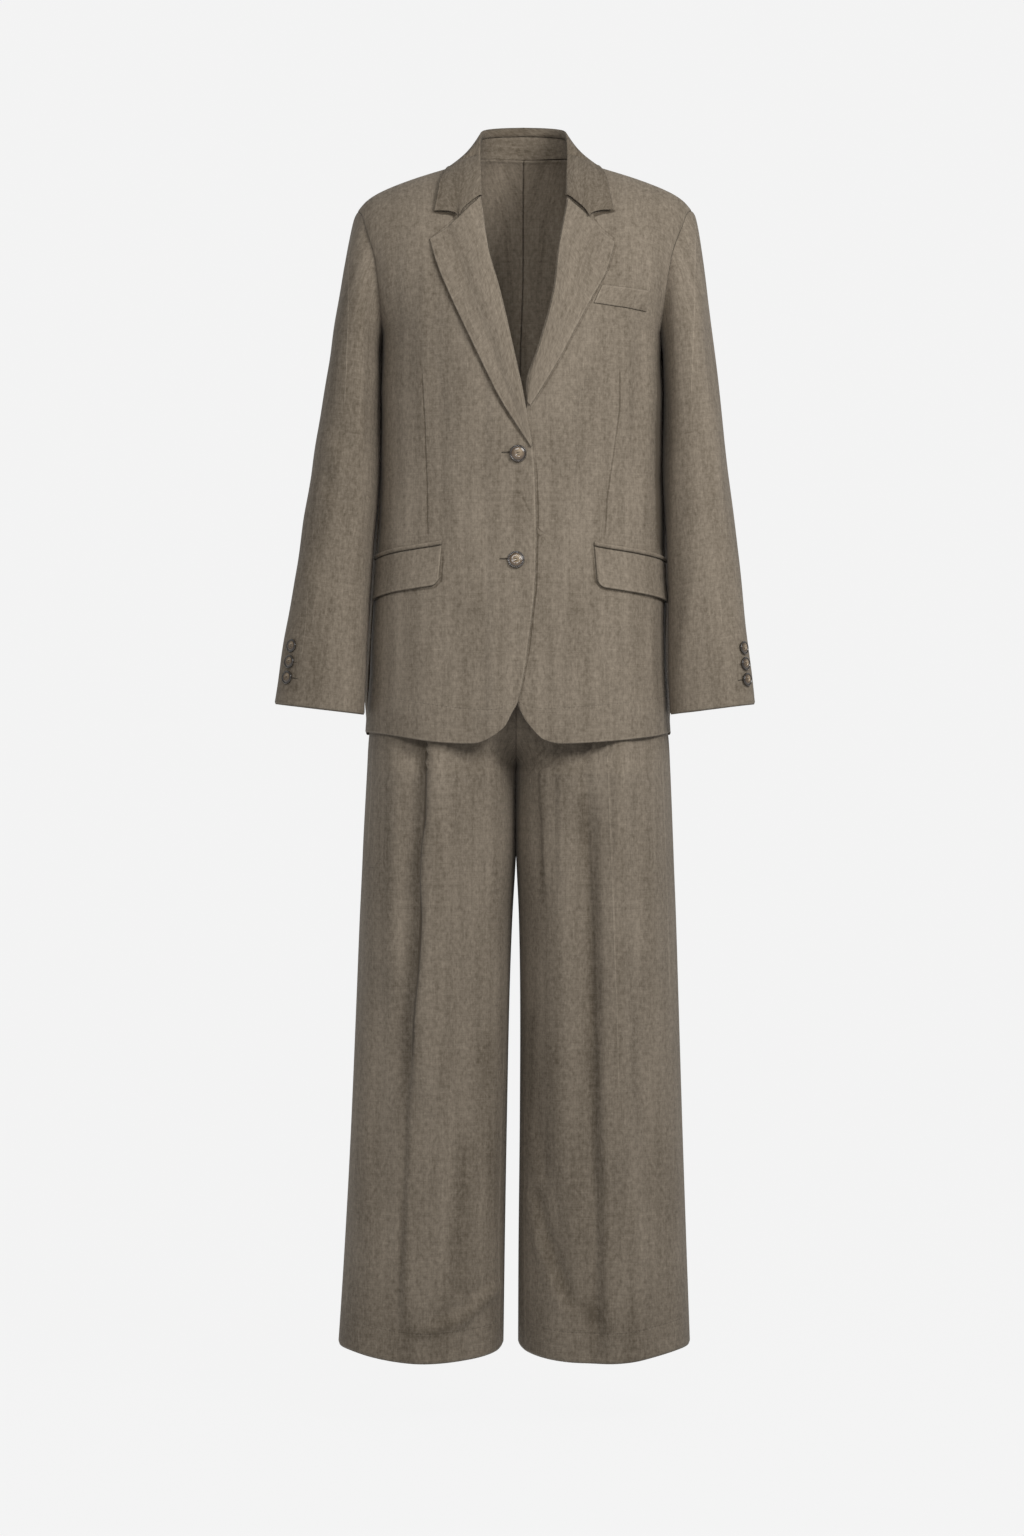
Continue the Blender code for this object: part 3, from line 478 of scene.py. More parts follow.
# Lines of painted highlight along the sleeves' pressed creases
SLEEVE_LINES = table(
    LINE,
    (1, 1.0, [(353, 226), (349, 257), (348, 314), (346, 371), (344, 410)]),
    (1, 1.0, [(308, 590), (306, 624), (301, 662)]),
    (1, 1.0, [(694.6, 222), (696, 256), (694.6, 304), (693, 343), (691, 400)]),
)
# Lines of painted shadow beside the pleats' edges, and of painted highlight along pressed creases and seams
TROUSER_LINES = table(
    LINE,
    (-3.2, 2.8, [(427.2, 660), (425.5, 780), (424.6, 818), (422, 865), (420, 924), (418, 971),
        (415, 1070)]),
    (1.2, 1.0, [(606, 690), (609, 800), (611, 850), (614, 930), (617, 1010), (619, 1100)]),
    (-0.8, 1.2, [(610, 740), (611, 800), (613, 850), (616, 930)]),
    (1, 1.0, [(504, 1030), (501.5, 1150), (499, 1240), (499.5, 1345)]),
    (1, 1.0, [(524.5, 1100), (524.5, 1200), (524, 1345)]),
    (1, 1.0, [(661.5, 740), (664, 800), (667, 900), (670, 1000)]),
    (1, 1.0, [(372.5, 745), (371.5, 800), (369, 850)]),
)
# Bands of painted shade: darker valleys and a dark strip in the shade between the left sleeve and the body;
# the last band is painted light down the right front's side
JACKET_PAINTED_SHADING = table(
    LINE,
    (-0.14, 7, [(541, 533), (540, 600), (531, 665)]),
    (-0.9, 5.5, [(660, 335), (659, 400), (658, 440), (659, 490), (662, 545)]),
    (-0.10, 9, [(421, 420), (422, 560)]),
    (-0.10, 8, [(470, 470), (468, 560)]),
    (-0.10, 8, [(583, 420), (578, 520)]),
    (0.2, 14, [(402, 400), (400, 520), (393, 700)]),
)
# A band of painted shade down the right sleeve
SLEEVE_PAINTED_SHADING = table(
    LINE,
    (-0.18, 34, [(350, 300), (338, 440), (315, 560), (306, 680)]),
)
# Bands of painted shade in the folds' valleys, beside the pleats and over the legs towards their hems; one
# band of painted light beside a crease
TROUSER_PAINTED_SHADING = table(
    LINE,
    (-0.20, 7, [(421, 742), (419.5, 818), (417, 865), (415, 924), (412, 990), (409, 1080), (405, 1170),
        (400, 1290)]),
    (-0.16, 12, [(467, 1150), (461, 1218), (458, 1290)]),
    (-0.20, 7, [(486, 1300), (466, 1320), (432, 1334), (410, 1333)]),
    (-0.20, 8.5, [(584, 800), (591, 900), (594, 1000), (593, 1110), (597, 1170), (602, 1242),
        (607, 1327)]),
    (0.12, 6, [(603, 760), (603, 860), (606, 960)]),
    (-0.24, 9, [(536, 1195), (541, 1225), (553, 1266), (567, 1295), (592, 1315)]),
    (-0.14, 9, [(528, 1020), (532, 1170)]),
    (-0.12, 10, [(491, 1040), (492, 1230)]),
    (-0.16, 5, [(543, 745), (543, 900)]),
    (-0.10, 7, [(387, 790), (383, 920)]),
    (-0.16, 55, [(370, 1345), (620, 1345)]),
    (-0.10, 90, [(560, 1090), (560, 1200)]),
)
JACKET_CREASES = table(
    CREASE,
    (398, 250, 394, 500, 9, 2.2), (414, 262, 408, 420, 10, 1.2), (436, 300, 440, 420, 12, 1.0),
    (652, 250, 646, 500, 9, -2.2), (634, 235, 630, 400, 10, -1.2), (618, 330, 612, 460, 12, -1.0),
    (519, 478, 533, 516, 4, 0.8), (510, 470, 530, 492, 5, 0.6), (534, 532, 556, 541, 4, 0.6),
    (480, 700, 508, 640, 8, 0.7), (430, 690, 492, 660, 9, 0.6), (470, 735, 500, 706, 7, 0.7),
    (384, 620, 430, 606, 8, 0.7), (600, 690, 650, 668, 8, -0.7), (552, 700, 575, 640, 8, 0.6),
    (610, 610, 655, 622, 8, 0.7),
)
SLEEVE_CREASES = table(
    CREASE,
    (372, 260, 368, 560, 8, 1.6), (330, 420, 366, 470, 12, 1.5), (322, 470, 352, 520, 10, 1.2),
    (316, 560, 356, 600, 12, 1.3), (340, 560, 362, 650, 9, 1.0), (676, 260, 672, 560, 8, -1.6),
    (716, 420, 672, 470, 12, -1.5), (722, 480, 684, 530, 10, -1.2), (726, 560, 680, 610, 12, -1.3),
    (700, 560, 680, 660, 9, -1.0),
)
TROUSER_CREASES = table(
    CREASE,
    (385, 780, 376, 1200, 12, 1.6), (455, 800, 458, 1100, 14, 1.3), (560, 800, 556, 1180, 14, -1.3),
    (648, 800, 660, 1240, 12, -1.6), (536, 1189, 548, 1242, 7, 3.0), (546, 1235, 572, 1305, 8, 3.2),
    (499, 1286, 462, 1322, 8, -3.0), (466, 1320, 420, 1334, 8, -2.2), (540, 1120, 548, 1190, 9, 1.0),
    (630, 1000, 640, 1330, 12, -1.2),
)
BACK_CREASES = table(
    CREASE,
    (398, 250, 392, 520, 14, 2.2), (652, 250, 650, 520, 14, -2.2), (430, 300, 426, 440, 16, 1.4),
    (620, 300, 622, 440, 16, -1.4), (450, 470, 500, 455, 10, 0.9), (596, 470, 548, 455, 10, -0.9),
    (470, 520, 506, 500, 9, 0.8), (470, 640, 460, 730, 12, 1.0), (590, 640, 600, 730, 12, -1.0),
)
SEAT_CREASES = table(
    CREASE,
    (420, 760, 410, 1320, 14, 2.6), (610, 760, 620, 1320, 14, -2.6), (462, 780, 500, 740, 12, 1.6),
    (570, 780, 532, 740, 12, -1.6), (380, 900, 372, 1250, 14, 1.6), (656, 900, 664, 1250, 14, -1.6),
    (468, 1000, 478, 1320, 12, 1.4), (560, 1000, 552, 1320, 12, -1.4),
)


# Tables and shapes

def points(x, y, z):
    return np.stack(np.broadcast_arrays(x, y, z), axis=-1).astype(float)


def mix(a, b, share):
    return a + (b - a) * share


def smooth(value):
    value = np.clip(value, 0, 1)
    return value * value * (3 - 2 * value)


def crossed(value):
    """From 0 to 1 while the value goes from half below nothing to half above it."""
    return smooth(value + 0.5)


def bell(value):
    return np.exp(-(value ** 2))


def signed_power(value, power):
    return np.sign(value) * np.abs(value) ** power


def oval(turn, power):
    """How far across and how far out a rounded section reaches at a turn, from -1 to 1."""
    return signed_power(np.cos(turn), 2 / power), signed_power(np.sin(turn), 2 / power)


def read(rows, column, where):
    """A column of a table at places between its rows, on a smooth curve through them."""
    keys = np.array([row[0] for row in rows], float)
    values = np.array([getattr(row, column) for row in rows], float)
    order = np.arange(len(keys))
    low = np.maximum(order - 1, 0)
    high = np.minimum(order + 1, len(keys) - 1)
    slopes = (values[high] - values[low]) / (keys[high] - keys[low])
    where = np.clip(where, keys[0], keys[-1])
    i = np.clip(np.searchsorted(keys, where, side="right") - 1, 0, len(keys) - 2)
    span = keys[i + 1] - keys[i]
    t = (where - keys[i]) / span
    ends = values[i] * (1 - t) ** 2 * (1 + 2 * t) + values[i + 1] * t * t * (3 - 2 * t)
    return ends + span * (slopes[i] * t * (1 - t) ** 2 - slopes[i + 1] * t * t * (1 - t))


def even(count, start=0.0, end=1.0):
    return np.linspace(start, end, count + 1)


def bunched(count, amount=0.7):
    """Shares from 0 to 1 that lie closer together at both ends."""
    t = even(count)
    return t - amount * np.sin(2 * math.pi * t) / (2 * math.pi)


def length_of(vectors):
    return np.linalg.norm(vectors, axis=-1)


def unit(vectors):
    return vectors / np.maximum(length_of(vectors), 1e-9)[..., None]


def grid_normals(grid, facing):
    return unit(np.cross(np.gradient(grid, axis=1), np.gradient(grid, axis=0)) * facing)


def run_length(grid, axis):
    """How far each point of a grid lies from its first column or row, along the cloth."""
    step = length_of(np.diff(grid, axis=axis))
    start = np.zeros_like(step[:1]) if axis == 0 else np.zeros_like(step[:, :1])
    return np.cumsum(np.concatenate([start, step], axis=axis), axis=axis)


# The jacket's body, as the solids have it

def section(face, level):
    """The centre, half width and depth of the jacket's section at a level."""
    depth = read(JACKET, "front" if face < 0 else "back", level)
    return read(JACKET, "centre", level), read(JACKET, "half", level), depth


def shoulder_top(face, x):
    out = np.abs(x - NECK_CENTRE)
    round_neck = np.sqrt(np.maximum(0, 1 - (out / NECK_HALF) ** 2)) if face > 0 else 0 * out
    height = read(SHOULDER, "height", np.abs(x)) + NECK_BACK_RISE * round_neck
    return RIDGE_Y + NECK_BACK_DEPTH * round_neck, height


def lap_lift(x, z):
    return LAP_LIFT * smooth((x - LAP_START) / LAP_SLOPE) * smooth((LAP_TOP - z) / LAP_TOP_FADE)


def ring_depth(face, level, x):
    centre, half, depth = section(face, level)
    inside = np.maximum(0, 1 - np.abs((x - centre) / half) ** BODY_POWER)
    return face * depth * inside ** (1 / BODY_POWER)


def raise_to_shoulder(face, x, ring_y, level):
    rise = np.clip((level - UNDERARM) / (NECK_LEVEL - UNDERARM), 0, 1)
    top_y, top_z = shoulder_top(face, x)
    spread = np.clip((np.abs(x) - NECK_HALF) / SHOULDER_REACH, 0, 1)
    power = mix(PROFILE_AT_NECK, PROFILE_AT_SHOULDER, spread)
    kept = np.maximum(0, 1 - rise ** power) ** (1 / power)
    return points(x, mix(top_y, ring_y, kept), mix(UNDERARM, top_z, rise))


def body_point(face, turn, level):
    centre, half, depth = section(face, level)
    across, out = oval(turn, BODY_POWER)
    x = centre - half * across
    y = face * depth * out
    raised = raise_to_shoulder(face, x, y, level)
    below = np.broadcast_to(np.asarray(level <= UNDERARM), x.shape)
    return np.where(below[..., None], points(x, y, level), raised)


def turn_at(x, level):
    centre, half, _ = section(-1, level)
    return np.arccos(signed_power(np.clip((centre - x) / half, -1, 1), BODY_POWER / 2))


def armhole_turn(side, level):
    centre = read(JACKET, "centre", level)
    return turn_at(centre + side * read(JACKET, "armhole", level), level)


def body_depth(face, x, z):
    _, top_z = shoulder_top(face, x)
    rise = np.maximum(0, (z - UNDERARM) / (top_z - UNDERARM))
    level = np.where(z <= UNDERARM, z, mix(UNDERARM, NECK_LEVEL, rise))
    ring_y = ring_depth(face, level, x)
    return np.where(z <= UNDERARM, ring_y, raise_to_shoulder(face, x, ring_y, level)[..., 1])


def surface_at(face, x, z, lapped=False):
    """The points of the jacket's surface at these x and heights, and their outward normals."""
    x, z = np.broadcast_arrays(np.asarray(x, float), np.asarray(z, float))
    by_x = body_depth(face, x + SLOPE_REACH, z) - body_depth(face, x - SLOPE_REACH, z)
    by_z = body_depth(face, x, z + SLOPE_REACH) - body_depth(face, x, z - SLOPE_REACH)
    normal = unit(points(-face * by_x, face, -face * by_z))
    out = lap_lift(x, z) if lapped else 0 * x
    return points(x, body_depth(face, x, z), z) + normal * out[..., None], normal


def side_seam(side, along):
    """The level and turn of the jacket's outer edge: its side seam, then its armhole."""
    level = mix(UNDERARM, NECK_LEVEL, np.clip(along - 1, 0, 1))
    side_turn = 0 if side < 0 else math.pi
    return level, np.where(along <= 1, side_turn, armhole_turn(side, level))


def front_grid(side, across, along):
    edges, hems = (RIGHT_EDGE, RIGHT_HEM) if side < 0 else (LEFT_EDGE, LEFT_HEM)
    corner = edges[0].height
    side_turn = 0 if side < 0 else math.pi
    hem_turn = mix(side_turn, turn_at(np.float64(edges[0].across), corner), across)
    hem_x = body_point(-1, hem_turn, np.full_like(hem_turn, corner))[..., 0]
    lower = along <= 1
    upper_level, outer = side_seam(side, along)
    level = np.where(lower, mix(read(hems, "height", hem_x), UNDERARM, along), upper_level)
    edge_level = np.where(lower, mix(corner, UNDERARM, along), upper_level)
    turn = mix(outer, turn_at(read(edges, "across", edge_level), edge_level), across)
    place = body_point(-1, turn, level)
    if side < 0:
        x, z = place[..., 0], place[..., 2]
        _, normal = surface_at(-1, np.minimum(x, LAP_NORMAL_TO), z)
        place = place + normal * (lap_lift(x, z) * (level < UNDERARM))[..., None]
    return place


def back_grid(side, across, along):
    upper_level, outer = side_seam(side, along)
    level = np.where(along <= 1, mix(BACK_HEM, UNDERARM, along), upper_level)
    middle = turn_at(mix(BACK_SEAM_X, NECK_CENTRE, smooth(along - 0.5)), level)
    return body_point(1, mix(outer, middle, across), level)


# Sleeves

def sleeve_ring(rows, turn, height):
    outer = read(rows, "outer", height)
    inner = read(rows, "inner", height)
    across, out = oval(turn, SLEEVE_POWER)
    across = (inner - outer) / 2 * across
    y = read(rows, "centre_y", height) - read(rows, "depth", height) * out
    lift = -SLEEVE_TILT * across * np.sign(inner - outer)
    return points((inner + outer) / 2 + across, y, height + lift)


def armhole_points(side, turn):
    half = turn % (2 * math.pi)
    level = mix(UNDERARM, NECK_LEVEL, (1 - np.cos(half)) / 2)
    body_turn = armhole_turn(side, level)
    front = (half <= math.pi)[..., None]
    return np.where(front, body_point(-1, body_turn, level), body_point(1, body_turn, level))


def sleeve_grid(side, turn, along):
    rows = SLEEVES[side]
    tube = sleeve_ring(rows, turn, mix(CUFF, SLEEVE_TOP, np.clip(along, 0, 1)))
    foot = sleeve_ring(rows, turn, np.full_like(turn, SLEEVE_TOP))
    below = sleeve_ring(rows, turn, np.full_like(turn, SLEEVE_TOP - SLEEVE_RUN_IN))
    seam = armhole_points(side, turn) + points(side * ARMHOLE_GAP, 0, 0)
    height = (1 - np.cos(turn)) / 2
    near = seam + points(side * CAP_OUT * height, 0, -CAP_DROP)
    far = foot + unit(foot - below) * mix(CAP_LIFT_UNDER, CAP_LIFT, height)[..., None]
    t = (2 - np.clip(along, 1, 2))[..., None]
    cap = seam * (1 - t) ** 3 + near * 3 * t * (1 - t) ** 2 + far * 3 * t * t * (1 - t) + foot * t ** 3
    return np.where((along <= 1)[..., None], tube, cap)


# Trousers

def trouser_fold(leg, x, z):
    total = 0 * x
    for fold in TROUSER_FOLDS:
        if fold.leg != leg:
            continue
        share = (z - fold.top) / (fold.bottom - fold.top)
        middle = mix(fold.across_top, fold.across_bottom, share)
        reach = smooth((fold.top - z) / FOLD_FADE + 1) * smooth((z - fold.bottom) / FOLD_FADE + 1)
        total = total + fold.depth * reach * bell((x - middle) / fold.width)
    return total


def trouser_grid(side, face, across, along):
    leg = "right" if side < 0 else "left"
    towards = "front" if face < 0 else "back"
    hem_share = (1 - signed_power(np.cos(math.pi * across), 2 / LEG_POWER)) / 2
    hem = read(LEG_HEM, towards, hem_share)
    z = np.where(along < 1, mix(hem, CROTCH, along), mix(CROTCH, WAIST_SEAM, along - 1))
    outer = read(TROUSERS, f"{leg}_out", z)
    inner = read(TROUSERS, f"{leg}_in", z)
    depth = face * read(TROUSERS, towards, z)
    half = (inner - outer) / 2
    leg_across, leg_out = oval(math.pi * across, LEG_POWER)
    hip_across, hip_out = oval(math.pi / 2 * across, LEG_POWER)
    legs = np.clip((RISE_TOP - z) / (RISE_TOP - CROTCH), 0, 1) ** RISE_CURVE
    x = mix(inner + (outer - inner) * hip_across, outer + half - half * leg_across, legs)
    place = points(x, mix(depth * hip_out, depth * leg_out, legs), z)
    if face < 0:
        place[..., 1] += trouser_fold(leg, place[..., 0], z) * smooth(np.abs(place[..., 1]) / FOLD_FADE)
    return place


def waistband_grid(across, along):
    z = mix(WAIST_SEAM + SEAM_GAP, WAIST_TOP, along)
    left = read(TROUSERS, "left_out", z)
    right = read(TROUSERS, "right_out", z)
    turn = 2 * math.pi * across - math.pi / 2
    depth = np.where(np.sin(turn) < 0, read(TROUSERS, "front", z), read(TROUSERS, "back", z))
    round_x, round_y = oval(turn, LEG_POWER)
    return points((left + right) / 2 + (left - right) / 2 * round_x, depth * round_y, z)


# Collar

def parted(station):
    """Which side of the neck a station of the collar is on, and how far round it lies."""
    return np.where(station < 0, -1.0, 1.0), np.abs(station)


def fold_points(side, at):
    x = NECK_CENTRE + side * read(COLLAR, "out", at)
    return points(x, read(COLLAR, "y", at), read(COLLAR, "height", at))


def on_body(face, x, rise, out):
    _, top_z = shoulder_top(face, x)
    level = mix(UNDERARM, NECK_LEVEL, rise)
    place = raise_to_shoulder(face, x, ring_depth(face, level, x), level)
    _, normal = surface_at(face, x, mix(UNDERARM, top_z, np.minimum(rise, NEARLY_TOP)))
    at_top = (rise > NEARLY_TOP)[..., None]
    return place + np.where(at_top, points(0, 0, 1), normal) * np.expand_dims(out, -1)


def stand_foot(side, at):
    angle = math.pi / 2 * at / SIDE_NECK
    x = NECK_CENTRE + side * NECK_HALF * np.sin(np.minimum(angle, math.pi / 2)) * STAND_INSIDE
    back_y, back_z = shoulder_top(1, x)
    behind = points(x, back_y - STAND_BACK_SETBACK, back_z + STAND_FOOT)
    level = mix(NECK_LEVEL, STAND_END_LEVEL, (at - SIDE_NECK) / (STAND_END - SIDE_NECK))
    right = read(RIGHT_EDGE, "across", level)
    x = np.where(side < 0, right, read(LEFT_EDGE, "across", level))
    before = raise_to_shoulder(-1, x, ring_depth(-1, level, x), level) + points(0, 0, STAND_FRONT_FOOT)
    return np.where((at <= SIDE_NECK)[..., None], behind, before)


def stand_top(side, at):
    """Where the stand is sewn to the leaf, inside the fold."""
    fold = fold_points(side, at)
    down = stand_foot(side, at) - fold
    return fold + unit(down) * np.minimum(STAND_TOP_GAP, length_of(down) * STAND_TOP_SHARE)[..., None]


def leaf_grid(station, across):
    """The collar's leaf from its fold, 0, to its free edge, 1."""
    side, at = parted(station)
    fold = fold_points(side, at)
    edge_x = NECK_CENTRE + side * read(COLLAR, "edge_out", at)
    rise = np.minimum(read(COLLAR, "edge_rise", at), 1)
    before = crossed((at - SIDE_NECK) / LEAF_TURN_SPAN)[..., None]
    clear = COLLAR_CLEAR - LEAF_HUG * bell(at - SIDE_NECK)
    edge = mix(on_body(1, edge_x, rise, clear), on_body(-1, edge_x, rise, clear), before)
    hung = mix(fold, edge, across[..., None])
    outward = unit(points(side * np.minimum(at / SIDE_NECK, 1), 1 - at / SIDE_NECK, 1))
    swell = np.sin(math.pi * np.clip(across, 0, 1))
    hung = hung + outward * (read(COLLAR, "bulge", at) * swell)[..., None]
    lay = smooth((at - SIDE_NECK) / LEAF_LAY_SPAN)
    gorge = smooth(at - GORGE_FROM) * (1 - np.abs(across - GORGE_CORNER_AT) / GORGE_CORNER_AT)
    x = mix(fold[..., 0], edge[..., 0], across)
    z = mix(fold[..., 2], edge[..., 2], across)
    x = mix(x, NECK_CENTRE + side * GORGE_CORNER_OUT, gorge)
    z = mix(z, GORGE_CORNER_HEIGHT, gorge)
    place, normal = surface_at(-1, x, z)
    lain = place + normal * (COLLAR_CLEAR + LEAF_PUFF * swell)[..., None]
    haste = mix(*LEAF_LAY_HASTE, smooth(at - GORGE_FROM))
    return mix(hung, lain, (lay * smooth(across * haste + LEAF_LAY_START))[..., None])


def stand_grid(station, across):
    side, at = parted(station)
    return mix(stand_foot(side, at), stand_top(side, at), across[..., None])


# Soft folds, by where the photograph shows them

def seen(place):
    """The pixel of the photograph that shows each point."""
    reach = MM_PER_PIXEL * (1 - place[..., 1] * MM / CAMERA_PLACE[1])
    px = PICTURE_MIDDLE[0] + (place[..., 0] - CAMERA_PLACE[0] / MM) / reach
    return px, PICTURE_MIDDLE[1] - (place[..., 2] - CAMERA_PLACE[2] / MM) / reach


def creased(creases, place):
    """How far soft folds move the cloth: in beside each line, and out again on its other side."""
    px, py = seen(place)
    total = 0 * px
    for crease in creases:
        length = math.hypot(crease.px2 - crease.px1, crease.py2 - crease.py1)
        run_x, run_y = (crease.px2 - crease.px1) / length, (crease.py2 - crease.py1) / length
        share = ((px - crease.px1) * run_x + (py - crease.py1) * run_y) / length
        beside = ((py - crease.py1) * run_x - (px - crease.px1) * run_y) * MM_PER_PIXEL / crease.width
        taper = crossed(share * CREASE_TAPER) * crossed((1 - share) * CREASE_TAPER)
        back = CREASE_BACK * bell(beside - CREASE_BACK_AT)
        total = total - crease.depth * taper * (bell(beside) - back)
    return total


def rippled(u, v, size, wide, high, seed):
    """Soft unevenness of cloth, with ripples of this size and about so wide and high."""
    draw = np.random.default_rng(seed)
    total = 0 * u
    for _ in range(RIPPLE_WAVES):
        turn_u, turn_v = draw.uniform(-1, 1, 2)
        phase = draw.uniform(0, 2 * math.pi)
        total = total + np.sin(2 * math.pi * (turn_u * u / wide + turn_v * v / high) + phase)
    return size * (total / RIPPLE_SHARE)


def pleated(pleats, place):
    """Steps of cloth where a pleat's fold lies over what is beside it."""
    px, py = seen(place)
    total = 0 * px
    for pleat in pleats:
        line = np.array(pleat.points, float)
        edge = np.interp(py, line[:, 1], line[:, 0])
        taper = crossed((py - line[0, 1]) / PLEAT_FADE) * crossed((line[-1, 1] - py) / PLEAT_FADE)
        beyond = (px - edge) * pleat.over * MM_PER_PIXEL
        step = crossed(beyond / PLEAT_STEP)
        over = step * np.exp(-np.maximum(beyond, 0) / pleat.reach_over)
        under = (1 - step) * np.exp(-np.maximum(-beyond, 0) / pleat.reach_under)
        total = total + pleat.height * taper * (over * 0.5 - under * 0.5)
    return total


def beside_points(corners, px, py):
    """How many millimetres each point lies beside a line, signed, and how far along it as a share."""
    corners = np.array(corners, float)
    steps = np.diff(corners, axis=0)
    lengths = length_of(steps)
    nearest, share = 0 * px + FAR, 0 * px
    before = 0
    for corner, step, length in zip(corners, steps, lengths):
        beside_x, beside_y = px - corner[0], py - corner[1]
        part = np.clip((beside_x * step[0] + beside_y * step[1]) / length ** 2, 0, 1)
        distance = np.hypot(beside_x - part * step[0], beside_y - part * step[1])
        distance = distance * np.sign(beside_x * step[1] - beside_y * step[0]) * MM_PER_PIXEL
        closer = np.abs(distance) < np.abs(nearest)
        nearest = np.where(closer, distance, nearest)
        share = np.where(closer, (before + part * length) / lengths.sum(), share)
        before = before + length
    return nearest, share


def drawn(lines, place):
    """How many widths each point lies beside the nearest line, and how light or dark that line is: mostly
    painted shadow and painted highlight.
    """
    px, py = seen(place)
    nearest, tone = 0 * px + FAR, 0 * px
    for line in lines:
        distance, share = beside_points(line.points, px, py)
        distance = distance / line.width
        taper = smooth(np.minimum(share, 1 - share) / LINE_FADE + LINE_START)
        closer = np.abs(distance) < np.abs(nearest)
        nearest = np.where(closer, distance, nearest)
        tone = np.where(closer, line.tone * taper, tone)
    return nearest, tone


def shaded(lines, place):
    """How much painted shade darkens the cloth, and painted light lightens it, in soft bands along the lines.
    """
    px, py = seen(place)
    total = 0 * px
    for line in lines:
        distance, _ = beside_points(line.points, px, py)
        total = total + line.tone * bell(distance / line.width)
    return total


def front_relief(place):
    """How far the jacket's front stands in or out at a place, with what lies on it."""
    x, z = place[..., 0], place[..., 2]
    folds = creased(JACKET_CREASES, place)
    for ripple in FRONT_RIPPLES:
        folds = folds + rippled(x, z, *ripple)
    return smooth((FOLDS_BELOW - z) / FOLDS_FADE) * folds


# Materials

def operator(operation, swapped=False):
    """A method that joins a signal and what stands beside it in a maths node."""
    def method(self, *others):
        values = (*others, self) if swapped else (self, *others)
        return self.paint.compute(operation, *values)
    return method


class Signal:
    """A shader socket that can stand in sums."""

    __add__ = operator("ADD")
    __radd__ = operator("ADD", True)
    __sub__ = operator("SUBTRACT")
    __rsub__ = operator("SUBTRACT", True)
    __mul__ = operator("MULTIPLY")
    __truediv__ = operator("DIVIDE")
    __pow__ = operator("POWER")
    __abs__ = operator("ABSOLUTE")
    sine = operator("SINE")
    least = operator("MINIMUM")

    def __init__(self, paint, socket):
        self.paint = paint
        self.socket = socket


class Paint:
    """A material under construction."""

    def __init__(self, name, **settings):
        self.made = bpy.data.materials.new(name)
        self.made.use_nodes = True
        self.tree = self.made.node_tree
        self.shader = self.tree.nodes["Principled BSDF"]
        self.finish(**settings)

    def node(self, kind, settings=None, inputs=None, output=0):
        """A node with its settings, then the values or links of its sockets."""
        made = self.tree.nodes.new("ShaderNode" + kind)
        for key, value in (settings or {}).items():
            setattr(made, key, value)
        for key, value in (inputs or {}).items():
            self.feed(made.inputs[key], value)
        return Signal(self, made.outputs[output])

    def feed(self, socket, value):
        if isinstance(value, Signal):
            self.tree.links.new(value.socket, socket)
        elif isinstance(value, tuple) and len(value) == 3 and socket.type == "RGBA":
            socket.default_value = (*value, 1)
        else:
            socket.default_value = value

    def compute(self, operation, *values):
        return self.node("Math", {"operation": operation}, dict(enumerate(values)))

    def between(self, value, low, high):
        """0 up to low, 1 from high on, and smooth between them."""
        settings = {"interpolation_type": "SMOOTHSTEP"}
        return self.node("MapRange", settings, {"Value": value, "From Min": low, "From Max": high})

    def blend(self, share, first, second):
        return self.node("Mix", {"data_type": "RGBA"}, {0: share, 6: first, 7: second}, 2)

    def attribute(self, name):
        return self.node("Attribute", {"attribute_name": name}, output=2)

    def unwrapped(self, name):
        """A UV map's place, and its two parts."""
        place = self.node("UVMap", {"uv_map": name})
        across = self.node("SeparateXYZ", {}, {0: place})
        return place, across, Signal(self, across.socket.node.outputs[1])

    def noise(self, place, scale, detail=2.0, roughness=0.5):
        """Noise from about -1 to 1, at a place stretched by three scales."""
        stretched = self.node("Mapping", {"vector_type": "POINT"}, {"Vector": place, "Scale": scale})
        inputs = {"Vector": stretched, "Scale": 1.0, "Detail": detail, "Roughness": roughness}
        return (self.node("TexNoise", {}, inputs) - 0.5) * NOISE_REACH

    def bump(self, height):
        return self.node("Bump", {}, {"Strength": 1.0, "Distance": MM, "Height": height})

    def finish(self, **inputs):
        for key, value in inputs.items():
            self.feed(self.shader.inputs[key.replace("_", " ").title().replace("Ior", "IOR")], value)
        return self.made


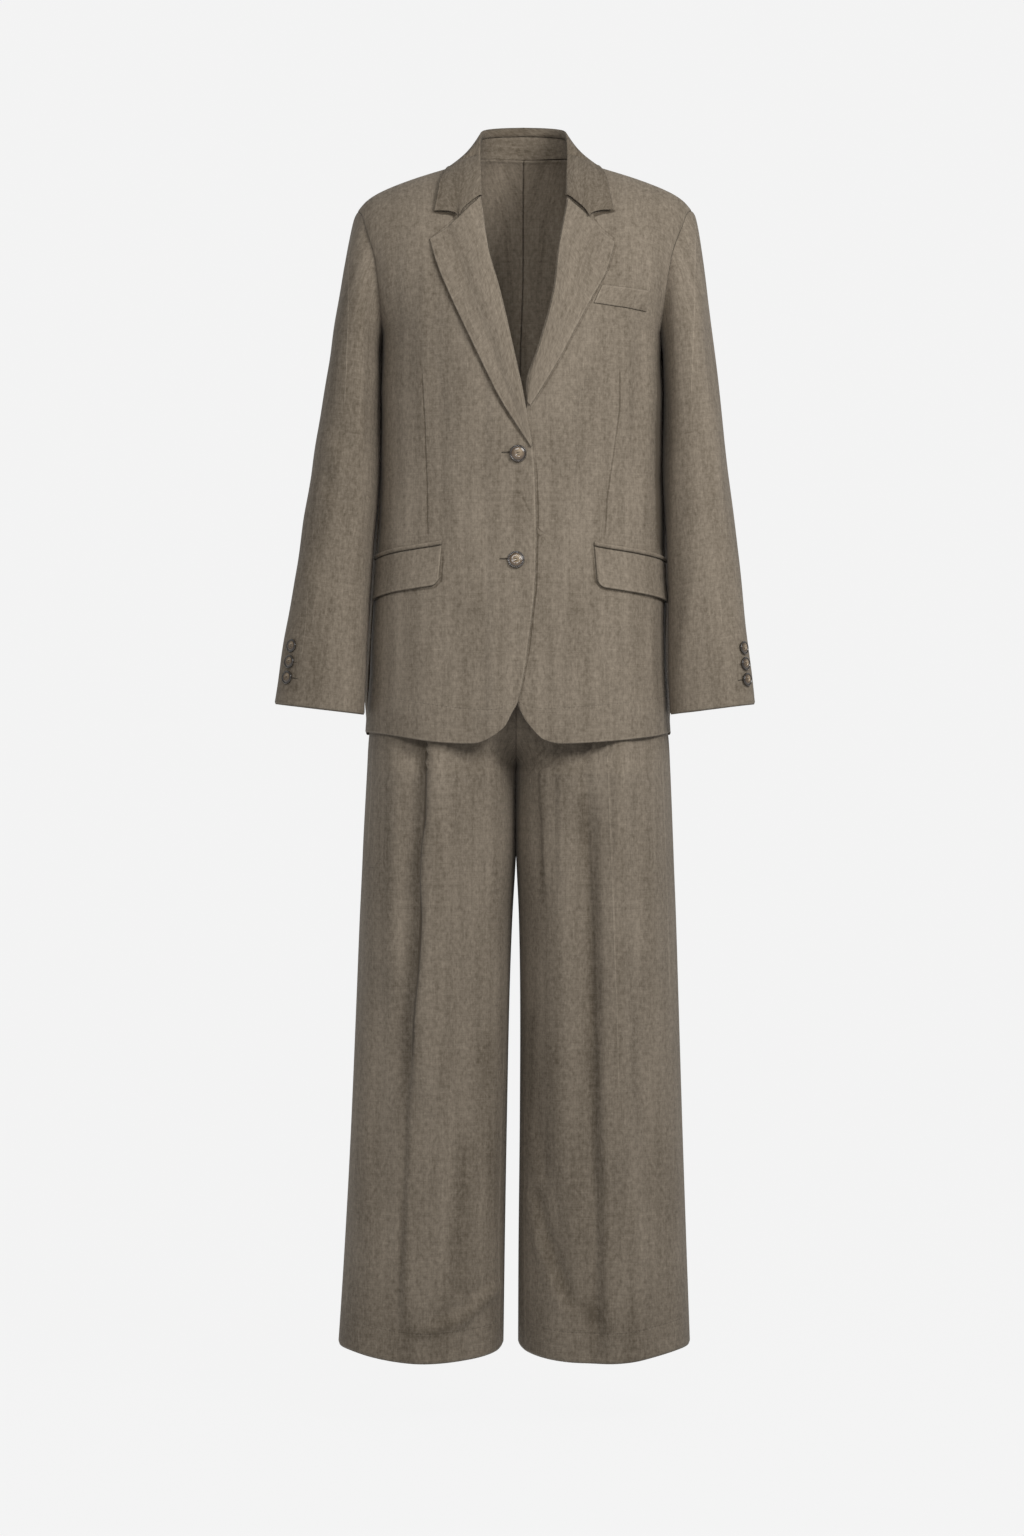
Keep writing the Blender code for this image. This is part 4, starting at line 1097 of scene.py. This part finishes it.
def linen_paint(name, dark, light, seam_shade=0.30):
    """Plain-woven linen: threads with slubs, tone streaks, seam and stitch marks, and painted light and
    shade.
    """
    paint = Paint(name, sheen_weight=0.04, sheen_roughness=0.55, specular_ior_level=0.25)
    place, across, along = paint.unwrapped("threads")
    warp = (across * (math.pi / THREAD)).sine()
    weft = (along * (math.pi / THREAD)).sine()
    over = warp * weft
    weave = abs(warp) * (over * 0.5 + 0.5) + abs(weft) * (0.5 - over * 0.5)
    warp_slub = paint.noise(place, (900, 45, 1))
    weft_slub = paint.noise(place, (45, 900, 1))
    thick = paint.between(paint.noise(place, (520, 30, 1), 1.0), 0.28, 0.9)
    thick_both = thick + paint.between(paint.noise(place, (30, 520, 1), 1.0), 0.28, 0.9)
    tone = MIDDLE_TONE + warp_slub * 0.15 + weft_slub * 0.14
    for share, scale, detail, roughness in TONES:
        tone = tone + paint.noise(place, scale, detail, roughness) * share
    tone = tone + thick_both * 0.15 + (weave - 0.55) * 0.10
    fold = paint.attribute("fold")
    in_seam = 1 - paint.between(paint.attribute("seam"), 0.15, 0.8)
    # Painted highlight along folded edges, where they catch the light
    fold_highlight = paint.between(fold, 0.3, 1.2) * (1 - paint.between(fold, 1.6, 3.2))
    # The hem's pressed line: a faint painted highlight, with its stitch pricks along it
    on_hem = 1 - paint.between(abs(paint.attribute("hem")), 0.25, 1.1)
    # The drawn lines: painted shadow and painted highlight, with the darts' dark seam lines
    on_line = (1 - paint.between(abs(paint.attribute("line")), 0.2, 1.2)) * paint.attribute("line_tone")
    pricks = paint.between((across * (2 * math.pi / STITCH)).sine(), 0.55, 0.85) * on_hem
    # Bands of painted shade and light, darker seams, and the painted highlight along folded edges
    tone = tone + paint.attribute("painted_shading") - in_seam * seam_shade + fold_highlight * 0.16
    tone = tone + on_hem * 0.04 - pricks * 0.12 + on_line * 0.22
    creases = paint.noise(place, (60, 45, 1), 3.0, 0.55)
    height = weave * 0.05 + (warp_slub + weft_slub) * 0.03 + thick_both * 0.09 + creases * 0.16
    height = height - in_seam * 0.5 - on_hem * 0.18 - pricks * 0.25 + on_line * 0.25
    colour = paint.blend(tone, dark, light)
    return paint.finish(base_color=colour, roughness=0.9 - thick * 0.08, normal=paint.bump(height))


def horn_paint(name, dark, warm, pale, rim_from):
    """Polished horn: a dark rim, pits painted dark as shade, and a marbled face with a painted highlight off
    its middle.
    """
    paint = Paint(name, coat_roughness=0.08, coat_weight=0.6)
    face, across, along = paint.unwrapped("face")
    out = paint.attribute("out")
    grain = paint.noise(face, (2.2, 2.2, 1), 3.0, 0.6)
    cloud = paint.noise(face, (1.1, 1.1, 1), 1.0)
    rim = paint.between(out, rim_from, rim_from + RIM_EASING)
    # Four pits painted dark, as shade in the holes, and pressed in a little in the bump
    pit_x = abs(across) - PIT_AT
    pit_y = abs(along) - PIT_AT
    pit = 1 - paint.between((pit_x * pit_x + pit_y * pit_y) ** 0.5, 0.055, 0.085)
    # A painted highlight on the face, mixed into the horn's marbling
    right, up = across - BUTTON_HIGHLIGHT_AT[0], along - BUTTON_HIGHLIGHT_AT[1]
    painted_highlight = 1 - (right * right + up * up) ** 0.5 / BUTTON_HIGHLIGHT_REACH
    marbled_and_highlit = paint.blend(paint.between(painted_highlight + cloud * 0.25 + grain * 0.15, 0.05, 0.85), warm, pale)
    colour = paint.blend((rim * 0.88 + pit).least(1), marbled_and_highlit, dark)
    bump = paint.bump(grain * 0.03 - pit * 0.5)
    return paint.finish(base_color=colour, roughness=0.3 + grain * 0.05, normal=bump)


LINEN = linen_paint("taupe_linen", (0.108, 0.085, 0.059), (0.325, 0.272, 0.210))
# A lighter copy of the linen, painted light for the jacket's inside, with fainter seams
LIGHTER_INSIDE_LINEN = linen_paint("taupe_linen_inside_painted_light", (0.13, 0.102, 0.071), (0.39, 0.326, 0.252), seam_shade=0.08)
THREADS = linen_paint("sewing_thread", (0.07, 0.056, 0.04), (0.19, 0.155, 0.115))
FRONT_HORN = horn_paint("polished_horn", (0.02, 0.013, 0.009), (0.115, 0.075, 0.042), (0.46, 0.35, 0.225),
                        rim_from=0.66)
CUFF_HORN = horn_paint("dark_horn", (0.014, 0.01, 0.007), (0.09, 0.06, 0.034), (0.36, 0.27, 0.17),
                       rim_from=0.62)


# Pieces

def mesh_of_grid(name, grid, u, v, facing):
    """A sheet of cloth from a grid of points, with its threads' places in metres as its UV map."""
    rows, columns = grid.shape[0] - 1, grid.shape[1] - 1
    shape = bmesh.new()
    bmesh.ops.create_grid(shape, x_segments=columns, y_segments=rows, size=1)
    mesh = bpy.data.meshes.new(name)
    shape.to_mesh(mesh)
    shape.free()
    flat = np.empty(len(mesh.vertices) * 3)
    mesh.vertices.foreach_get("co", flat)
    flat = flat.reshape(-1, 3)
    column = np.rint((flat[:, 0] + 1) / 2 * columns).astype(int)
    row = np.rint((flat[:, 1] + 1) / 2 * rows).astype(int)
    mesh.vertices.foreach_set("co", (grid[row, column] * MM).ravel())
    corner = np.empty(len(mesh.loops), int)
    mesh.loops.foreach_get("vertex_index", corner)
    threads = mesh.uv_layers.new(name="threads")
    places = np.stack([u[row, column][corner], v[row, column][corner]], axis=-1) * MM
    threads.data.foreach_set("uv", places.ravel())
    if facing < 0:
        mesh.flip_normals()
    mesh.update()
    return mesh, row, column


def edge_relief(distance, kind):
    if kind == "seam":
        return -SEAM_DIP * bell(distance / SEAM_WIDTH)
    near = np.clip(1 - distance / EDGE_ROLL, 0, 1)
    return -EDGE_DROP * (1 - np.sqrt(1 - near ** 2))


def cloth(name, nodes, grid, facing, edges, finish=LINEN, relief=0, shell=SHELL, grain=None, lines=None,
          hem=None, painted_shading=0, inside=None):
    """One cut piece of cloth. edges names how the grid's start, end, bottom and top are finished."""
    along_u = run_length(grid, 1)
    along_v = run_length(grid, 0)
    far = np.full_like(along_u, FAR)
    distances = {
        "start": along_u,
        "end": along_u[:, -1:] - along_u,
        "bottom": along_v,
        "top": along_v[-1:] - along_v,
    }
    out = relief + 0 * along_u
    values = {"seam": far, "fold": far}
    for side, finished in edges.items():
        kind, where = finished if isinstance(finished, tuple) else (finished, 1)
        out = out + edge_relief(distances[side], kind) * where
        values[kind] = np.minimum(values[kind], distances[side] + FAR * (1 - where))
    values["hem"] = distances["bottom"] - hem if hem else far
    values["painted_shading"] = painted_shading + 0 * along_u
    values["line"], values["line_tone"] = lines or (far, 0 * along_u)
    shaped = grid + grid_normals(grid, facing) * out[..., None]
    u, v = grain or (along_u - along_u[:, along_u.shape[1] // 2, None], along_v)
    mesh, row, column = mesh_of_grid(name, shaped, u, v, facing)
    for label, value in values.items():
        layer = mesh.attributes.new(label, "FLOAT", "POINT")
        layer.data.foreach_set("value", value[row, column].astype(np.float32))
    piece = placed(name, mesh, finish)
    wall = piece.modifiers.new("wall", "SOLIDIFY")
    wall.thickness = shell * MM
    wall.offset = -1
    if inside:
        mesh.materials.append(inside)
        wall.material_offset = 1
    if nodes:
        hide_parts(*nodes)
    return piece


def placed(name, mesh, finish):
    """A smooth piece that rides the suit, from a mesh in place."""
    mesh.shade_smooth()
    mesh.materials.append(finish)
    piece = bpy.data.objects.new(name, mesh)
    bpy.context.scene.collection.objects.link(piece)
    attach(piece, "root")
    return piece


def plumb_run(grid, anchor_x):
    """How far round the cloth each point lies from a plumb line."""
    along_u = run_length(grid, 1)
    u = np.empty_like(along_u)
    for row, xs in enumerate(grid[..., 0]):
        order = np.argsort(xs)
        u[row] = along_u[row] - np.interp(anchor_x, xs[order], along_u[row][order])
    return u


def body_grain(grid, along, anchor_x):
    """Threads' places on the jacket: upright from a plumb line, and by height under the arms."""
    v = grid[..., 2].copy()
    upper = np.argmax(along[:, 0] > 1)
    v[upper - 1:] = grid[upper - 1, :, 2] + run_length(grid[upper - 1:], 0)
    return plumb_run(grid, anchor_x), v


# The suit

def panel_grid(columns, low_rows, high_rows):
    """Shares across a panel, and places along it that run to 1 at its turn and to 2 at its top."""
    return np.meshgrid(columns, np.concatenate([low_rows, 1 + high_rows[1:]]))


def jacket_body():
    upper = bunched(UPPER_ROWS, 0.3)
    for side, word in SIDES:
        across, along = panel_grid(bunched(FRONT_COLUMNS), bunched(LOWER_ROWS, 0.5) ** FRONT_ROW_POWER, upper)
        grid = front_grid(side, across, along)
        made = cloth(f"front_cloth_{word}", [f"jacket_front_{word}"], grid, -side, SEWN | {"end": "fold"},
                     relief=front_relief(grid) * smooth((1 - across) * FRONT_EDGE_HASTE),
                     grain=body_grain(grid, along, side * FRONT_PLUMB), lines=drawn(JACKET_LINES[word], grid),
                     hem=JACKET_HEM, painted_shading=shaded(JACKET_PAINTED_SHADING, grid))
        across, along = panel_grid(bunched(BACK_COLUMNS), bunched(LOWER_ROWS, 0.5), upper)
        grid = back_grid(side, across, along)
        x, z = grid[..., 0], grid[..., 2]
        relief = creased(BACK_CREASES, grid) + rippled(x, z, *BACK_RIPPLE)
        beside = bell((run_length(grid, 1) - BEHIND_SLEEVE_AT) / BEHIND_SLEEVE_WIDTH)
        below = smooth((UNDERARM - z) / BEHIND_SLEEVE_TOP_FADE + BEHIND_SLEEVE_TOP)
        below = below * smooth((z - BACK_HEM) / FOLDS_FADE)
        made = cloth(f"back_cloth_{word}", [f"jacket_back_{word}"], grid, side, SEWN,
                     relief=relief + BEHIND_SLEEVE_OUT * beside * below,
                     grain=body_grain(grid, along, side * BACK_PLUMB), hem=JACKET_HEM, inside=LIGHTER_INSIDE_LINEN)


def sleeves():
    for side, word in SIDES:
        for part, first, last, columns in SLEEVE_PARTS:
            share, along = panel_grid(bunched(columns), bunched(SLEEVE_ROWS, 0.4), bunched(CAP_ROWS, 0.3))
            grid = sleeve_grid(side, mix(first, last, share), along)
            x, y, z = np.moveaxis(grid, -1, 0)
            off_middle = smooth(np.abs(y + SLEEVE_CREASES_OFF) / SLEEVE_CREASES_FADE)
            relief = creased(SLEEVE_CREASES, grid) * off_middle + rippled(x + y, z, *SLEEVE_RIPPLE, 11 + side)
            relief = relief + rippled(x, z, *SLEEVE_FINE_RIPPLE, 13 + side)
            made = cloth(f"sleeve_{part}_cloth_{word}", [f"sleeve_{part}_{word}"], grid, side, SEWN,
                         relief=relief * smooth((2 - along) * CAP_HASTE),
                         lines=drawn(SLEEVE_LINES, grid) if part == "top" else None,
                         painted_shading=shaded(SLEEVE_PAINTED_SHADING, grid))


def trouser_leg(side, word):
    for face, part, columns, creases, rests_on in (
        (-1, "front", LEG_FRONT_COLUMNS, TROUSER_CREASES, f"trouser_back_{word}"),
        (1, "back", LEG_BACK_COLUMNS, SEAT_CREASES, "waistband_cloth"),
    ):
        across, along = panel_grid(bunched(columns, 0.6), bunched(LEG_ROWS, 0.4), even(RISE_ROWS))
        grid = trouser_grid(side, face, across, along)
        x, z = grid[..., 0], grid[..., 2]
        relief = creased(creases, grid)
        lines, painted_shading = None, 0
        if face < 0:
            relief = relief + pleated(TROUSER_PLEATS, grid)
            lines, painted_shading = drawn(TROUSER_LINES, grid), shaded(TROUSER_PAINTED_SHADING, grid)
        relief = relief + rippled(x, z, *LEG_RIPPLE, 21 + side + face)
        relief = relief * smooth(np.minimum(across, 1 - across) * LEG_SEAM_HASTE)
        made = cloth(f"trouser_{part}_cloth_{word}", [f"trouser_{part}_{word}"], grid, side * face, SEWN,
                     relief=relief * smooth((2 - along) * WAIST_HASTE), lines=lines, painted_shading=painted_shading,
                     grain=(plumb_run(grid, LEG_MIDDLE[word]), z), hem=TROUSER_HEM)


def trousers():
    for side, word in SIDES:
        trouser_leg(side, word)
    across, along = np.meshgrid(even(WAIST_COLUMNS), even(WAIST_ROWS))
    made = cloth("waistband_cloth", ["waistband"], waistband_grid(across, along), 1,
                 {"start": "seam", "end": "seam", "bottom": "seam", "top": "fold"})


def collar():
    last = COLLAR[-1].station
    across = np.concatenate([-even(TURNED_COLUMNS)[:0:-1], bunched(LEAF_COLUMNS)])
    across, station = np.meshgrid(across, last * even(LEAF_STATIONS, -1))
    side, at = parted(station)
    fold = leaf_grid(station, np.maximum(across, 0))
    turned = mix(fold, stand_top(side, at), np.clip(-across, 0, 1)[..., None])
    grid = np.where((across < 0)[..., None], turned, fold)
    eased = grid.copy()
    for _ in range(LEAF_EASING):
        eased[1:-1] = (eased[:-2] + 2 * eased[1:-1] + eased[2:]) / 4
    bends = sum(bell((at - bend) / LEAF_BEND_SPAN) for bend in (NECK_POINT_AT, SIDE_NECK))
    grid = mix(grid, eased, np.minimum(bends, 1)[..., None])
    to_gorge = bell((last - at) * GORGE_STEP / GORGE_REACH)
    inner = 1 - crossed((across - GORGE_CORNER_AT) * GORGE_HASTE)
    relief = to_gorge * mix(NOTCH_LIFT, -GORGE_SINK, inner) * (across > 0)
    in_front = smooth((at - LEAF_FOLDS_FROM) / LEAF_FOLDS_FADE)
    relief = relief + front_relief(grid) * in_front * smooth(across * LEAF_FOLDS_HASTE)
    notched = ("fold", 1 - inner)
    edges = {"end": "fold", "bottom": notched, "top": notched}
    made = cloth("collar_fall_cloth", ["collar_fall"], grid, 1, edges, relief=relief, painted_shading=LEAF_PAINTED_SHADE)
    across, station = np.meshgrid(bunched(STAND_COLUMNS), STAND_END * even(STAND_STATIONS, -1))
    made = cloth("collar_stand_cloth", ["collar_stand"], stand_grid(station, across), -1,
                 {"start": "seam", "end": "seam"}, painted_shading=STAND_PAINTED_SHADE)


def laid_on(name, node, x, z, stands_out, edges, lapped=False, **more):
    """A piece that lies on a front, made from the front's points moved out."""
    place, normal = surface_at(-1, x, z, lapped)
    grid = place + normal * (stands_out + front_relief(place))[..., None]
    facing = 1 if (grid_normals(grid, 1) * normal).sum() > 0 else -1
    return cloth(name, [node], grid, facing, edges, **more)


def polyline(line, share):
    count = len(line) - 1
    return [np.interp(share * count, np.arange(count + 1), [p[k] for p in line]) for k in (0, 1)]


def lapels():
    for side, word in SIDES:
        rows, top = (RIGHT_LAPEL, RIGHT_LAPEL_TOP) if side < 0 else (LEFT_LAPEL, LEFT_LAPEL_TOP)
        across, along = np.meshgrid(bunched(LAPEL_COLUMNS), bunched(LAPEL_ROWS, 0.4))
        low = np.maximum(along, LAPEL_TOP_PART)
        x = mix(read(rows, "roll", low), read(rows, "edge", low), across)
        z = mix(read(rows, "roll_height", low), read(rows, "edge_height", low), across)
        top_x, top_z = polyline(top, across)
        part = np.minimum(along / LAPEL_TOP_PART, 1)
        x, z = mix(top_x, x, part), mix(top_z, z, part)
        roll = np.sin(math.pi * np.minimum(across * ROLL_HASTE + ROLL_START, 1))
        roll = roll * smooth((1 - along) * LAPEL_END_HASTE)
        lift = across ** 2 * smooth(along * LAPEL_END_HASTE) * smooth((1 - along) * LAPEL_FOOT_HASTE)
        out = LAPEL_STANDS_OUT + LAPEL_ROLL * roll + LAPEL_LIFT[word] * lift
        edges = FOLDED | {"bottom": ("fold", smooth(across * LAPEL_FREE_HASTE - LAPEL_FREE_FROM))}
        made = laid_on(f"lapel_cloth_{word}", f"lapel_{word}", x, z, out, edges, lapped=side < 0)


def pocket_line(row, across):
    """The x and height of a hip pocket's upper edge, from its front end to its back end."""
    z = mix(row.front_z, row.back_z, across ** POCKET_BEND)
    front_turn = turn_at(np.float64(row.front_x), row.front_z)
    return body_point(-1, mix(front_turn, row.back_turn, across), z)[..., 0], z


def pockets():
    for row in POCKETS:
        outward = -1 if row.side == "right" else 1
        across, along = np.meshgrid(bunched(FLAP_COLUMNS), bunched(FLAP_ROWS))
        x, z = pocket_line(row, across)
        to_corner = np.maximum(0, FLAP_CORNER - np.abs(x - x[:, :1]))
        rounded = FLAP_CORNER - np.sqrt(FLAP_CORNER ** 2 - to_corner ** 2)
        x = x + outward * FLAP_SET_BACK * along * (1 - across)
        z = z - JET_WIDTH - along * (FLAP_DEPTH - rounded)
        made = laid_on(f"flap_cloth_{row.side}", f"flap_{row.side}", x, z,
                       FLAP_STANDS_OUT + FLAP_LIFT * along ** 2, FOLDED | {"bottom": "seam"})
        across, along = np.meshgrid(bunched(FLAP_COLUMNS), even(JET_ROWS))
        x, z = pocket_line(row, across)
        z = z - along * (JET_WIDTH - SEAM_GAP)
        out = JET_STANDS_OUT + JET_SWELL * np.sin(math.pi * along)
        made = laid_on(f"jet_cloth_{row.side}", f"jet_{row.side}", x, z, out,
                       {"bottom": "fold", "top": "seam"}, shell=JET_SHELL)
    across, along = np.meshgrid(bunched(WELT_COLUMNS), bunched(WELT_ROWS))
    top_in, top_out, low_out, low_in = np.array(WELT)
    across, along = across[..., None], along[..., None]
    x, z = np.moveaxis(mix(mix(top_in, top_out, across), mix(low_in, low_out, across), along), -1, 0)
    made = laid_on("welt_cloth", "breast_welt", x, z, WELT_STANDS_OUT, FOLDED | {"top": "seam"})


# Buttons, and the slits that they pass through

def button(name, node, place, normal, width, thick, horn):
    """A turned disc with a dark rim, a domed face and a small well, sewn on through four pits."""
    shape = bmesh.new()
    ring = [shape.verts.new((r * width / 2, 0, h * thick)) for r, h in BUTTON_PROFILE]
    edges = [shape.edges.new(pair) for pair in zip(ring, ring[1:])]
    bmesh.ops.spin(shape, geom=ring + edges, cent=(0, 0, 0), axis=(0, 0, 1), angle=2 * math.pi,
                   steps=BUTTON_STEPS, use_merge=True)
    bmesh.ops.remove_doubles(shape, verts=shape.verts[:], dist=1e-5)
    bmesh.ops.recalc_face_normals(shape, faces=shape.faces[:])
    face = shape.loops.layers.uv.new("face")
    out = shape.verts.layers.float.new("out")
    for corner in (corner for side in shape.faces for corner in side.loops):
        corner[face].uv = corner.vert.co.xy / (width / 2)
    for vert in shape.verts:
        vert[out] = vert.co.xy.length / (width / 2)
    turn = Vector(normal).to_track_quat("Z", "Y").to_matrix().to_4x4()
    pose = Matrix.Translation(Vector(place) * MM) @ turn @ Matrix.Scale(MM, 4)
    bmesh.ops.transform(shape, matrix=pose, verts=shape.verts[:])
    disc = placed(name, mesh_of(name, shape), horn)
    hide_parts(node)
    stitch = bmesh.new()
    for side in (-1, 1):
        at = Matrix.Translation((0, side * PIT_AT * width / 2, WELL_HEIGHT * thick))
        size = Matrix.Diagonal((PIT_AT * width / 2 + THREAD_OVERHANG, THREAD_HALF, THREAD_HALF, 1))
        bmesh.ops.create_uvsphere(stitch, u_segments=12, v_segments=8, radius=1, matrix=pose @ at @ size)
    name += "_thread"
    placed(name, mesh_of(name, stitch), THREADS)


def mesh_of(name, shape):
    mesh = bpy.data.meshes.new(name)
    shape.to_mesh(mesh)
    shape.free()
    return mesh


def slit(name, grid, normals):
    """A worked slit: a low bank of stitches round a cut painted dark as shadow, tapering at its far end."""
    rows = np.abs(even(grid.shape[0] - 1, -1))[:, None] + 0 * grid[..., 0]
    bank = SLIT_BANK * bell((rows - SLIT_BANK_AT) / SLIT_BANK_WIDTH) - SLIT_BANK * (rows > SLIT_BANK_END)
    made = grid + normals * (SLIT_RISE + bank)[..., None]
    facing = 1 if (grid_normals(made, 1) * normals).sum() > 0 else -1
    # Painted shadow along the middle, where the cut opens
    lines = (rows * SLIT_LINE, SLIT_CUT_SHADOW + 0 * rows)
    cloth(name, [], made, facing, {}, THREADS, shell=SLIT_SHELL, lines=lines)


def front_slit(number, x, z):
    share, row = np.meshgrid(even(SLIT_STEPS), even(SLIT_ROWS, -1))
    ends = np.sqrt(np.clip(1 - (2 * share - 1) ** SLIT_SQUARENESS, 0, 1))
    half = SLIT_HALF * ends * mix(SLIT_TAPER, 1, share)
    across = x - SLIT_REACH + share * (SLIT_REACH - SLIT_SHORT)
    place, normal = surface_at(-1, across, z + SLIT_LIFT + row * half, True)
    slit(f"buttonhole_{number}", place + normal * front_relief(place)[..., None], normal)


def cuff_slit(side, word, number, height):
    share, row = np.meshgrid(even(CUFF_SLIT_STEPS), even(CUFF_SLIT_ROWS, -1))
    turns = CUFF_TURNS[word] - math.radians(CUFF_SLIT_TURN) * share
    grid = sleeve_ring(SLEEVES[side], turns, height + row * CUFF_SLIT_HALF * mix(1, 0.5, share))
    normals = grid_normals(grid, 1)
    outward = grid - sleeve_ring(SLEEVES[side], turns + math.pi, height)
    normals = normals * np.sign((normals * outward).sum(axis=-1, keepdims=True))
    slit(f"cuff_slit_{word}_{number}", grid, normals)


def sleeve_spot(side, turn, height):
    """A point of the sleeve by its turn and ring height, and the normal there."""
    turns, heights = np.meshgrid(turn + np.array([-0.02, 0, 0.02]), height + np.array([-1.0, 0, 1.0]))
    grid = sleeve_ring(SLEEVES[side], turns, heights)
    return grid[1, 1], grid_normals(grid, side)[1, 1]


def buttons():
    for number, (x, z) in enumerate(FRONT_BUTTONS, 1):
        place, normal = surface_at(-1, np.float64(x), np.float64(z), True)
        foot = place + normal * (front_relief(place) + BUTTON_RISE)
        button(f"front_button_face_{number}", f"front_button_{number}", foot, normal, FRONT_BUTTON,
               FRONT_BUTTON_THICK, FRONT_HORN)
    for side, word in SIDES:
        for number, height in enumerate(CUFF_HEIGHTS[word], 1):
            place, normal = sleeve_spot(side, CUFF_TURNS[word], height)
            name = f"{word}_{number}"
            button(f"cuff_button_face_{name}", f"cuff_button_{name}", place + normal * BUTTON_RISE, normal,
                   CUFF_BUTTON, CUFF_BUTTON_THICK, CUFF_HORN)
            cuff_slit(side, word, number, height)
    for number, (x, z) in enumerate(FRONT_BUTTONS, 1):
        front_slit(number, x, z)


# Studio

def stage():
    scene = bpy.context.scene
    camera = bpy.data.objects.new("camera", bpy.data.cameras.new("camera"))
    camera.location = CAMERA_PLACE
    camera.rotation_euler = (math.pi / 2, 0, 0)
    camera.data.sensor_fit = "VERTICAL"
    camera.data.sensor_height = SENSOR
    camera.data.sensor_width = SENSOR
    camera.data.lens = CAMERA_LENS
    scene.collection.objects.link(camera)
    scene.camera = camera
    scene.view_settings.view_transform = "Standard"
    world = bpy.data.worlds.new("studio")
    world.use_nodes = True
    world.node_tree.nodes["Background"].inputs["Color"].default_value = (1, 1, 1, 1)
    world.node_tree.nodes["Background"].inputs["Strength"].default_value = WORLD_STRENGTH
    scene.world = world
    for name, power, size, place, target in LIGHTS:
        light = bpy.data.lights.new(name, "AREA")
        light.energy = power
        light.size = size
        lamp = bpy.data.objects.new(name, light)
        lamp.location = place
        aim = Vector(target) - Vector(place)
        lamp.rotation_euler = aim.to_track_quat("-Z", "Y").to_euler()
        scene.collection.objects.link(lamp)


def backdrop():
    """A pale floor that sweeps up into a pale wall, lit evenly."""
    shape = bmesh.new()
    bend = [(PAPER_NEAR, FLOOR)] + [
        (WALL_Y - SWEEP + SWEEP * math.sin(turn), FLOOR + SWEEP - SWEEP * math.cos(turn))
        for turn in even(SWEEP_STEPS, 0, math.pi / 2)
    ] + [(WALL_Y, PAPER_TOP)]
    line = [shape.verts.new((-PAPER_HALF, y, z)) for y, z in bend]
    for pair in zip(line, line[1:]):
        shape.edges.new(pair)
    swept = bmesh.ops.extrude_edge_only(shape, edges=shape.edges[:])
    moved = [item for item in swept["geom"] if isinstance(item, bmesh.types.BMVert)]
    bmesh.ops.translate(shape, verts=moved, vec=(2 * PAPER_HALF, 0, 0))
    bmesh.ops.recalc_face_normals(shape, faces=shape.faces[:])
    mesh = mesh_of("backdrop", shape)
    mesh.shade_smooth()
    paint = Paint("backdrop_paper", emission_strength=PAPER_GLOW, specular_ior_level=0)
    paper = paint.finish(base_color=(0.02, 0.02, 0.02), roughness=1.0, emission_color=(1, 1, 1))
    mesh.materials.append(paper)
    sheet = bpy.data.objects.new("backdrop", mesh)
    bpy.context.scene.collection.objects.link(sheet)
    sheet.visible_diffuse = False


stage()
backdrop()
jacket_body()
sleeves()
trousers()
collar()
lapels()
pockets()
buttons()
